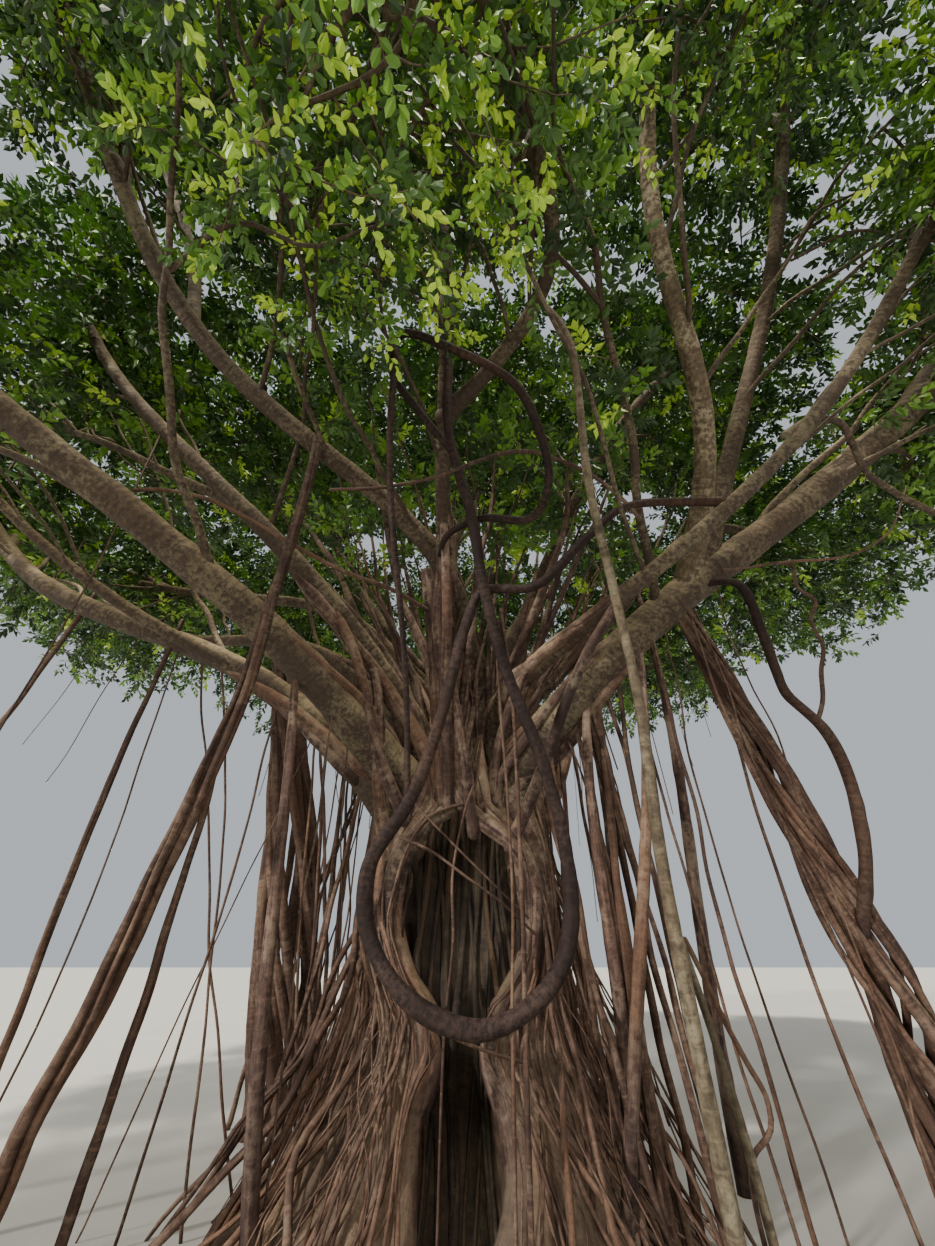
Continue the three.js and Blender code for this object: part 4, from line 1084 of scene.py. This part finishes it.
boughGroups = {
    "boughsLeft": ("left_main", "left_low", "left_rising", "left_side", "left_rising_side", "left_back_low",
                   "left_back_high"),
    "boughsRight": ("right_main", "right_front", "right_rising", "right_back", "right_inner"),
    "boughsMiddle": ("overhead_left", "overhead_left_fork", "overhead_center", "front", "top", "top_left",
                     "back", "back_left", "back_right"),
    "boughPalePaintedLight": ("overhead_right",),
}


# Foliage

foliageSettings = {
    "twigs": 16, "twigFrom": 0.3, "twigReach": (0.9, 0.45), "twigLean": (0.15, 0.75),
    "sprayStations": 9, "sprayReach": (0.24, 0.42), "leafLength": (0.092, 0.125),
    "usual": ("plain", 1.0, 13, 4.6),  # as in the table of near masses
    "most": 190000,  # triangles in one piece
}
nearMasses = {
    # the masses in front: outline of their leaves, size against the usual, leaves on a spray, branchlets
    # per cubic metre
    "front_low": ("fine", 0.7, 10, 5.0), "overhead": ("plain", 0.8, 11, 6.6),
    "overhead_left": ("plain", 0.78, 11, 7.2), "overhead_right": ("plain", 0.78, 11, 7.2),
    "front_left": ("plain", 0.85, 11, 6.4), "front_right": ("plain", 0.85, 11, 6.4),
}
goldenTurn = math.pi * (3 - math.sqrt(5))
lowestCorner, highestCorner = (np.array(corner) for corner in cadBox)
massCentres = {name: np.array(mass[1]) for name, mass in masses.items()}
massReach = {name: np.array(mass[2]) for name, mass in masses.items()}
limbPlaces = np.vstack([boughLines[name][::6] for name in boughs])
limbGirths = np.concatenate([boughGirths[name][::6] for name in boughs])


def inBox(places, margin):
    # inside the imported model's box
    return ((places > lowestCorner + margin) & (places < highestCorner - margin)).all(-1)


def insideSpace(places, name, margin=0.0):
    # inside the mass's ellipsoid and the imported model's box, and on its own side of the plane to each
    # other mass
    offset = places - massCentres[name]
    inside = ((offset / (massReach[name] - margin)) ** 2).sum(-1) < 1
    inside &= inBox(places, margin)
    own = massReach[name].mean()
    for other in masses:
        if other != name:
            axis = massCentres[other] - massCentres[name]
            far = np.linalg.norm(axis)
            share = own / (own + massReach[other].mean())
            inside &= offset @ (axis / far) < far * share - 0.03
    return inside


def clearOfLimbs(places, margin):
    # farther from every limb's line than its radius and the margin
    clear = np.ones(places.shape[:-1], bool)
    for start in range(0, len(limbPlaces), 60):
        far = np.linalg.norm(places[..., None, :] - limbPlaces[start:start + 60], axis=-1)
        clear &= (far > limbGirths[start:start + 60] + margin).all(-1)
    return clear


def fittingShares(starts, steps, name):
    # the largest share of each step that ends inside the mass's space, or 0
    found = np.zeros(len(starts))
    for share in (0.47, 0.6, 0.78, 1.0):
        fits = insideSpace(starts + steps * share, name) & insideSpace(starts + steps * share * 0.6, name)
        found = np.where(fits, share, found)
    return found


def leavingAt(heading, turns, leans):
    # cos(lean) (cos turn side + sin turn over) + sin(lean) heading
    side = unit(np.cross(levelAxis(heading), heading))
    over = np.cross(heading, side)
    out = np.cos(turns)[:, None] * side + np.sin(turns)[:, None] * over
    return unit(np.cos(leans)[:, None] * out + np.sin(leans)[:, None] * heading)


def growMass(name, seed, stems, sticks, stalks):
    # a stem; twigs that leave it one golden turn apart; branchlets from them to places spread evenly
    # over the mass's space; and sprays that leave those one golden turn apart
    s = foliageSettings
    bough, centre, reach = masses[name][0], massCentres[name], massReach[name].mean()
    foot, heading = boughLines[bough][-1], headings(boughLines[bough])[-1]
    aim = centre - foot
    knee = foot + heading * np.linalg.norm(aim) * 0.4
    t = evenShares(40)[:, None]
    stem = (1 - t) ** 2 * foot + 2 * t * (1 - t) * knee + t ** 2 * (centre + unit(aim) * reach * 0.3)
    stem = evenly(stem, 40)
    tipGirth = boughs[bough][4][1]
    tube(stems, stem, np.linspace(tipGirth, 0.03, 40), 12, 0.06, 0.12, seed)

    # twigs on the stem
    number = np.arange(s["twigs"])
    share = s["twigFrom"] + (1 - s["twigFrom"]) * number / (s["twigs"] - 1)
    starts = stem[np.round(share * 39).astype(int)]
    aims = np.repeat(unit(aim)[None], len(number), 0)
    lean = ranged(s["twigLean"], share) + 0.3 * (draw(seed, number + 20) - 0.5)
    way = leavingAt(aims, number * goldenTurn + fullTurn * draw(seed, 1), lean)
    steps = way * (reach * ranged(s["twigReach"], share))[:, None]
    fit = fittingShares(starts, steps, name)
    starts, steps = starts[fit > 0], steps[fit > 0] * fit[fit > 0, None]
    t = evenShares(9)[None, :, None]
    sag = 0.08 * np.linalg.norm(steps, axis=1)[:, None, None] * np.sin(np.pi * t) * (0, 0, 1)
    phase = fullTurn * draw(seed, np.arange(len(starts)))[:, None, None]
    wave = 0.04 * np.sin(2 * np.pi * t + phase) * (1, 0.6, 0)
    twigs = starts[:, None] + t * steps[:, None] + sag + wave
    manyTubes(sticks, twigs, np.linspace(0.024, 0.009, 9), 6)

    # branchlets from the nearest twig to each of the evenly spread places fract(n (0.819, 0.671, 0.550))
    _, size, _, density = nearMasses.get(name, s["usual"])
    number = np.arange(int(8 * massReach[name].prod() * density))
    spot = number[:, None] * (0.8191725, 0.6710436, 0.5497005) + draw(seed, np.arange(3))
    targets = centre + (2 * (spot - np.floor(spot)) - 1) * massReach[name]
    targets = targets[insideSpace(targets, name, 0.12) & clearOfLimbs(targets, 0.12)]
    hosts = np.vstack([twigs.reshape(-1, 3), stem[12:]])
    starts = hosts[np.linalg.norm(targets[:, None] - hosts, axis=-1).argmin(1)]
    steps = targets - starts
    far = np.linalg.norm(steps, axis=1)
    starts, steps, far = starts[far > 0.08], steps[far > 0.08], far[far > 0.08]
    t = evenShares(4)[None, :, None]
    order = np.arange(len(starts))
    bend = np.stack([draw(seed + 11, order), draw(seed + 12, order), draw(seed + 13, order) + 0.2], 1) * 2 - 1
    bend = 0.12 * far[:, None, None] * np.sin(np.pi * t) * bend[:, None]
    branches = starts[:, None] + t * steps[:, None] + bend
    manyTubes(sticks, branches, np.linspace(0.009, 0.003, 4), 3)

    def fits(ends):
        # inside the mass's own space
        return insideSpace(ends, name, 0.06)

    return sprout(branches, steps, size, seed, s["sprayStations"], stalks, fits)


def sprout(branches, steps, size, seed, stations, stalks, fits):
    # sprays at even shares of each branchlet, one golden turn apart, where their ends fit
    s = foliageSettings
    share = np.tile(np.linspace(0.12, 1, stations), len(branches))
    host = np.repeat(np.arange(len(branches)), stations)
    spot = share * 3
    low = np.minimum(spot.astype(int), 2)
    starts = branches[host, low] + (branches[host, low + 1] - branches[host, low]) * (spot - low)[:, None]
    order = np.arange(len(host))
    lean = 0.45 + 0.6 * share + 0.4 * (draw(seed + 13, order) - 0.5)
    way = leavingAt(unit(steps)[host], order * goldenTurn, lean)
    way = unit(way + (0, 0, 0.12))
    far = size ** 0.6 * ranged(s["sprayReach"], draw(seed + 15, order))
    ends = starts + way * far[:, None]
    keep = fits(ends) & clearOfLimbs(ends, 0.06)
    starts, ends, way, far = starts[keep], ends[keep], way[keep], far[keep]
    spikes(stalks, starts, ends, 0.003)
    return starts, way, far


def growBetween(seed, sticks, stalks):
    # branchlets at even steps along those stretches, one golden turn apart, each with its sprays
    s = betweenSettings
    spots = [evenly(line, max(int(lengthOf(line) / s["every"]), 2) + 1) for line in leafyLines]
    starts = np.vstack([line[1:] for line in spots])
    ahead = unit(np.vstack([np.diff(line, axis=0) for line in spots]))
    order = np.arange(len(starts))
    way = leavingAt(ahead, order * goldenTurn, 0.35 + 0.6 * draw(seed, order))
    steps = way * ranged(s["reach"], draw(seed + 1, order))[:, None]
    t = evenShares(4)[None, :, None]
    branches = starts[:, None] + t * steps[:, None] + 0.06 * np.sin(np.pi * t) * (0, 0, 1)

    def free(places):
        # inside the box and above the lowest leaves
        return inBox(places, 0.1) & (places[:, 2] > s["lowest"])

    keep = free(branches[:, -1]) & clearOfLimbs(branches[:, -1], 0.08)
    branches, steps = branches[keep], steps[keep]
    manyTubes(sticks, branches, np.linspace(0.007, 0.003, 4), 3)
    return sprout(branches, steps, s["size"], seed, s["stations"], stalks, free)


def leafPlaces(starts, way, far, kind, scale, each, seed):
    # leaves round a spray's stalk, a little over a third of a turn apart: base on the stalk, then a folded
    # blade of six corners where the leaves are fine, and of four corners elsewhere
    s = foliageSettings
    count = len(starts)
    order = np.arange(count * each).reshape(count, each)
    side = unit(np.cross(way, levelAxis(way, 0.95)))[:, None]
    ahead = way[:, None]
    over = np.cross(side, ahead)
    turn = 2.4 * np.arange(each)[None, :, None] + fullTurn * draw(seed + 5, np.arange(count))[:, None, None]
    share = np.linspace(0.15, 1, each)[None, :, None]
    base = starts[:, None] + ahead * far[:, None, None] * share
    jitter = np.stack([draw(seed, order), draw(seed + 1, order), draw(seed + 2, order)], -1) * 2 - 1
    out = np.cos(turn) * side + 0.55 * np.sin(turn) * over
    heading = unit(ahead * (0.35 + 0.7 * share ** 3) + out * 0.8 + 0.3 * jitter + (0, 0, -0.1))
    face = np.array((0, 0, 1.0)) + 0.7 * np.roll(jitter, 1, -1)
    across = unit(np.cross(face, heading))
    face = np.cross(heading, across)
    size = scale * ranged(s["leafLength"], draw(seed + 4, order))[..., None]
    corners = [base + size * (a * heading + b * across + c * face) for a, b, c in leafOutlines[kind]]
    return np.stack(corners, 2).reshape(count, each, len(corners), 3)


leafOutlines = {
    # corners as shares of the leaf's length: along, across and up
    "fine": ((0, 0, 0), (0.36, 0.26, 0.07), (0.76, 0.21, 0.03), (1, 0, -0.12), (0.76, -0.21, 0.03),
             (0.36, -0.26, 0.07)),
    "plain": ((0, 0, 0), (0.48, 0.27, 0.06), (1, 0, -0.1), (0.48, -0.27, 0.06)),
}
leafFaces = {
    "fine": np.array([(0, 3, 2), (0, 2, 1), (0, 5, 4), (0, 4, 3)]), "plain": np.array([(0, 2, 1), (0, 3, 2)]),
}
tints = {
    # colour, its darker patch, share of the sprays
    "deep": ((0.03, 0.07, 0.018), (0.017, 0.043, 0.012), 0.32),
    "middle": ((0.07, 0.155, 0.026), (0.04, 0.095, 0.018), 0.35),
    "fresh": ((0.17, 0.33, 0.035), (0.095, 0.21, 0.028), 0.26),
    # painted glow: a bright yellow-green that stands in for sunlight shining through the leaves
    "paintedGlow": ((0.47, 0.66, 0.07), (0.29, 0.48, 0.05), 0.07),
}
paintedGlowShift = {"front_low": 0.16, "overhead": 0.18}  # how far a mass's sprays move towards the bright tint of painted glow, so the masses overhead get more painted light


def makeFoliage():
    # every mass and the stretches between, their leaves shared out over the tints by one draw for each spray
    stems, sticks, stalks = Pile(), Pile(), Pile()
    leaves = {(tint, kind): [] for tint in tints for kind in leafFaces}
    for number, name in enumerate([*masses, "between"]):
        if name == "between":
            starts, way, far = growBetween(number + 1, sticks, stalks)
        else:
            starts, way, far = growMass(name, number + 1, stems, sticks, stalks)
        kind, scale, each, _ = nearMasses.get(name, foliageSettings["usual"])
        blades = leafPlaces(starts, way, far, kind, scale, each, number + 1)
        pick = draw(number + 60, np.arange(len(starts)))
        pick = np.maximum(pick + paintedGlowShift.get(name, 0.04 if name in nearMasses else -0.03), 0)
        low = 0
        for tint, (_, _, share) in tints.items():
            chosen = (pick >= low) & (pick < low + share + (1 if tint == "paintedGlow" else 0))
            low += share
            some = blades[chosen].reshape(-1, blades.shape[2], 3)
            leaves[tint, kind].append(some[inBox(some, 0).all(1)])
    pieces = [makePiece(name, pile, finishes[finish]) for name, pile, finish
              in (("stems", stems, "bark"), ("twigs", sticks, "twig"), ("stalks", stalks, "twig"))]
    total = 0
    for tint, (colour, shade, _) in tints.items():
        finish = leafFinish(tint + " leaf", colour, shade)
        number = 0
        for kind, faces in leafFaces.items():
            blades = np.concatenate(leaves[tint, kind])
            total += len(blades)
            parts = math.ceil(len(blades) * len(faces) / foliageSettings["most"])
            for part in range(parts):
                pile = Pile()
                pile.addStack(blades[part::parts], faces)
                number += 1
                name = "leaves" + tint.capitalize() + str(number)
                pieces.append(makePiece(name, pile, finish, True))
    nodes = ["foliage_" + name for name in masses]
    for piece in pieces:
        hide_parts(*nodes)
    print("leaves", total)


# Making everything

def gathered(name, finish, slot, *makers):
    # one piece of all that these functions lay
    pile = Pile()
    for maker in makers:
        maker(pile)
    return makePiece(name, pile, finishes[finish])


# the core behind the coat stems is painted in shade
trunkPiece = makePiece("trunkBody", makeTrunk(), finishes["core"])
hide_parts("trunk")
gathered("trunkStems", "trunkBark", "bark", trunkStrands, innerStems, fanStems)
gathered("trunkCoat", "trunkBark", "bark", coatStems, rimStems)
# the lining of the hollow is painted in shade
gathered("hollowRoots", "core", "bark", hollowLining)
gathered("fineRoots", "aerialRoot", "aerial_root", fineRoots)
gathered("sideBranches", "bark", "bark", sideBranches, boughEnds)

for number, (name, members) in enumerate(boughGroups.items()):
    pile = Pile()
    for index, member in enumerate(members):
        boughTube(pile, member, 10 * number + index)
    # the overhead right bough gets pale bark with painted light
    piece = makePiece(name, pile, finishes["palePaintedLightBough" if name == "boughPalePaintedLight" else "bark"])
    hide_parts(*["bough_" + member for member in members])

pile = Pile()
taperedTube(pile, routeLine([*vineRoute, boughPlace("right_front", 0.5)]), 1, vineSettings, 1)
piece = makePiece("loopRoot", pile, finishes["vine"])
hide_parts("root_vine_upper", "root_loop_right", "root_loop_left", "root_loop_arm")

pile = Pile()
taperedTube(pile, routeLine([*hoopRoute, boughPlace("overhead_left", 0.27)]), 1, hoopSettings, 2)
line = bentLine((-0.56, -3.25, 5.78), (-0.395, -1.592, 2.435), (-0.06, 0.06, 0.06), (-0.03, -0.06, -0.06))
taperedTube(pile, line, 1, leftSettings, 4)
taperedTube(pile, routeLine([boughPlace("right_main", 0.45), *serpentRoute]), 1, serpentSettings, 3)
piece = makePiece("hangingVines", pile, finishes["vine"])
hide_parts("root_hoop_left", "root_hoop_right", "root_hanging_left", "root_serpent")

pile = Pile()
taperedTube(pile, routeLine([boughPlace("front", 0.5), *paleRoute]), 1, paleSettings, 5)
taperedTube(pile, bentLine((1.19, -2.13, 1.7), (1.48, -1.76, -0.05), (0.06, 0.04, 0)), 1, shootSettings, 6)
piece = makePiece("palePillar", pile, finishes["paleRoot"])
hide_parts("prop_pale")

piece = gathered("props", "aerialRoot", "aerial_root", propStrands)
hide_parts(*bundleSettings)
gathered("thinRoots", "aerialRoot", "aerial_root", curtainRoots, rootClusters, hangingRoots, routedRoots)

pile = Pile()
taperedTube(pile, routeLine(droopPoints), 1, droopSettings, 8)
makePiece("droopingBranch", pile, finishes["bark"])

makeFoliage()


# Light and floor

stageSettings = {"floorSize": 60, "floor": ((0.3, 0.3, 0.28), (0.36, 0.35, 0.33)), "sky": (0.86, 0.93, 1.0),
                 "skyStrength": 0.6}

floorMesh = bpy.data.meshes.new("floor")
half = stageSettings["floorSize"]
corners = [(-half, -half, 0), (half, -half, 0), (half, half, 0), (-half, half, 0)]
floorMesh.from_pydata(corners, [], [(0, 1, 2, 3)])
floorPiece = bpy.data.objects.new("floor", floorMesh)
bpy.context.scene.collection.objects.link(floorPiece)
floorFinish = Finish("floor", 0.9, 0.1)
floorShare = floorFinish.noise(floorFinish.place(), 0.8)
floorMesh.materials.append(floorFinish.shade(floorFinish.mixed(floorShare, *stageSettings["floor"])))

world = bpy.data.worlds.new("sky")
bpy.context.scene.world = world
world.use_nodes = True
world.node_tree.nodes["Background"].inputs["Color"].default_value = (*stageSettings["sky"], 1)
world.node_tree.nodes["Background"].inputs["Strength"].default_value = stageSettings["skyStrength"]


def addSun(name, strength, colour, softness, turn, shadows=True):
    # a sun this many degrees wide, turned by these degrees from straight down
    light = bpy.data.lights.new(name, "SUN")
    light.use_shadow = shadows
    light.energy, light.color, light.angle = strength, colour, math.radians(softness)
    lamp = bpy.data.objects.new(name, light)
    lamp.rotation_euler = tuple(math.radians(v) for v in turn)
    bpy.context.scene.collection.objects.link(lamp)


addSun("key", 8.0, (1.0, 0.93, 0.8), 3, (42, 0, -35))
addSun("fill", 4.2, (1.0, 0.95, 0.88), 5, (70, 0, -48))
addSun("upper", 2.0, (1.0, 0.93, 0.8), 5, (28, 0, 25), False)
print("lights and floor set")
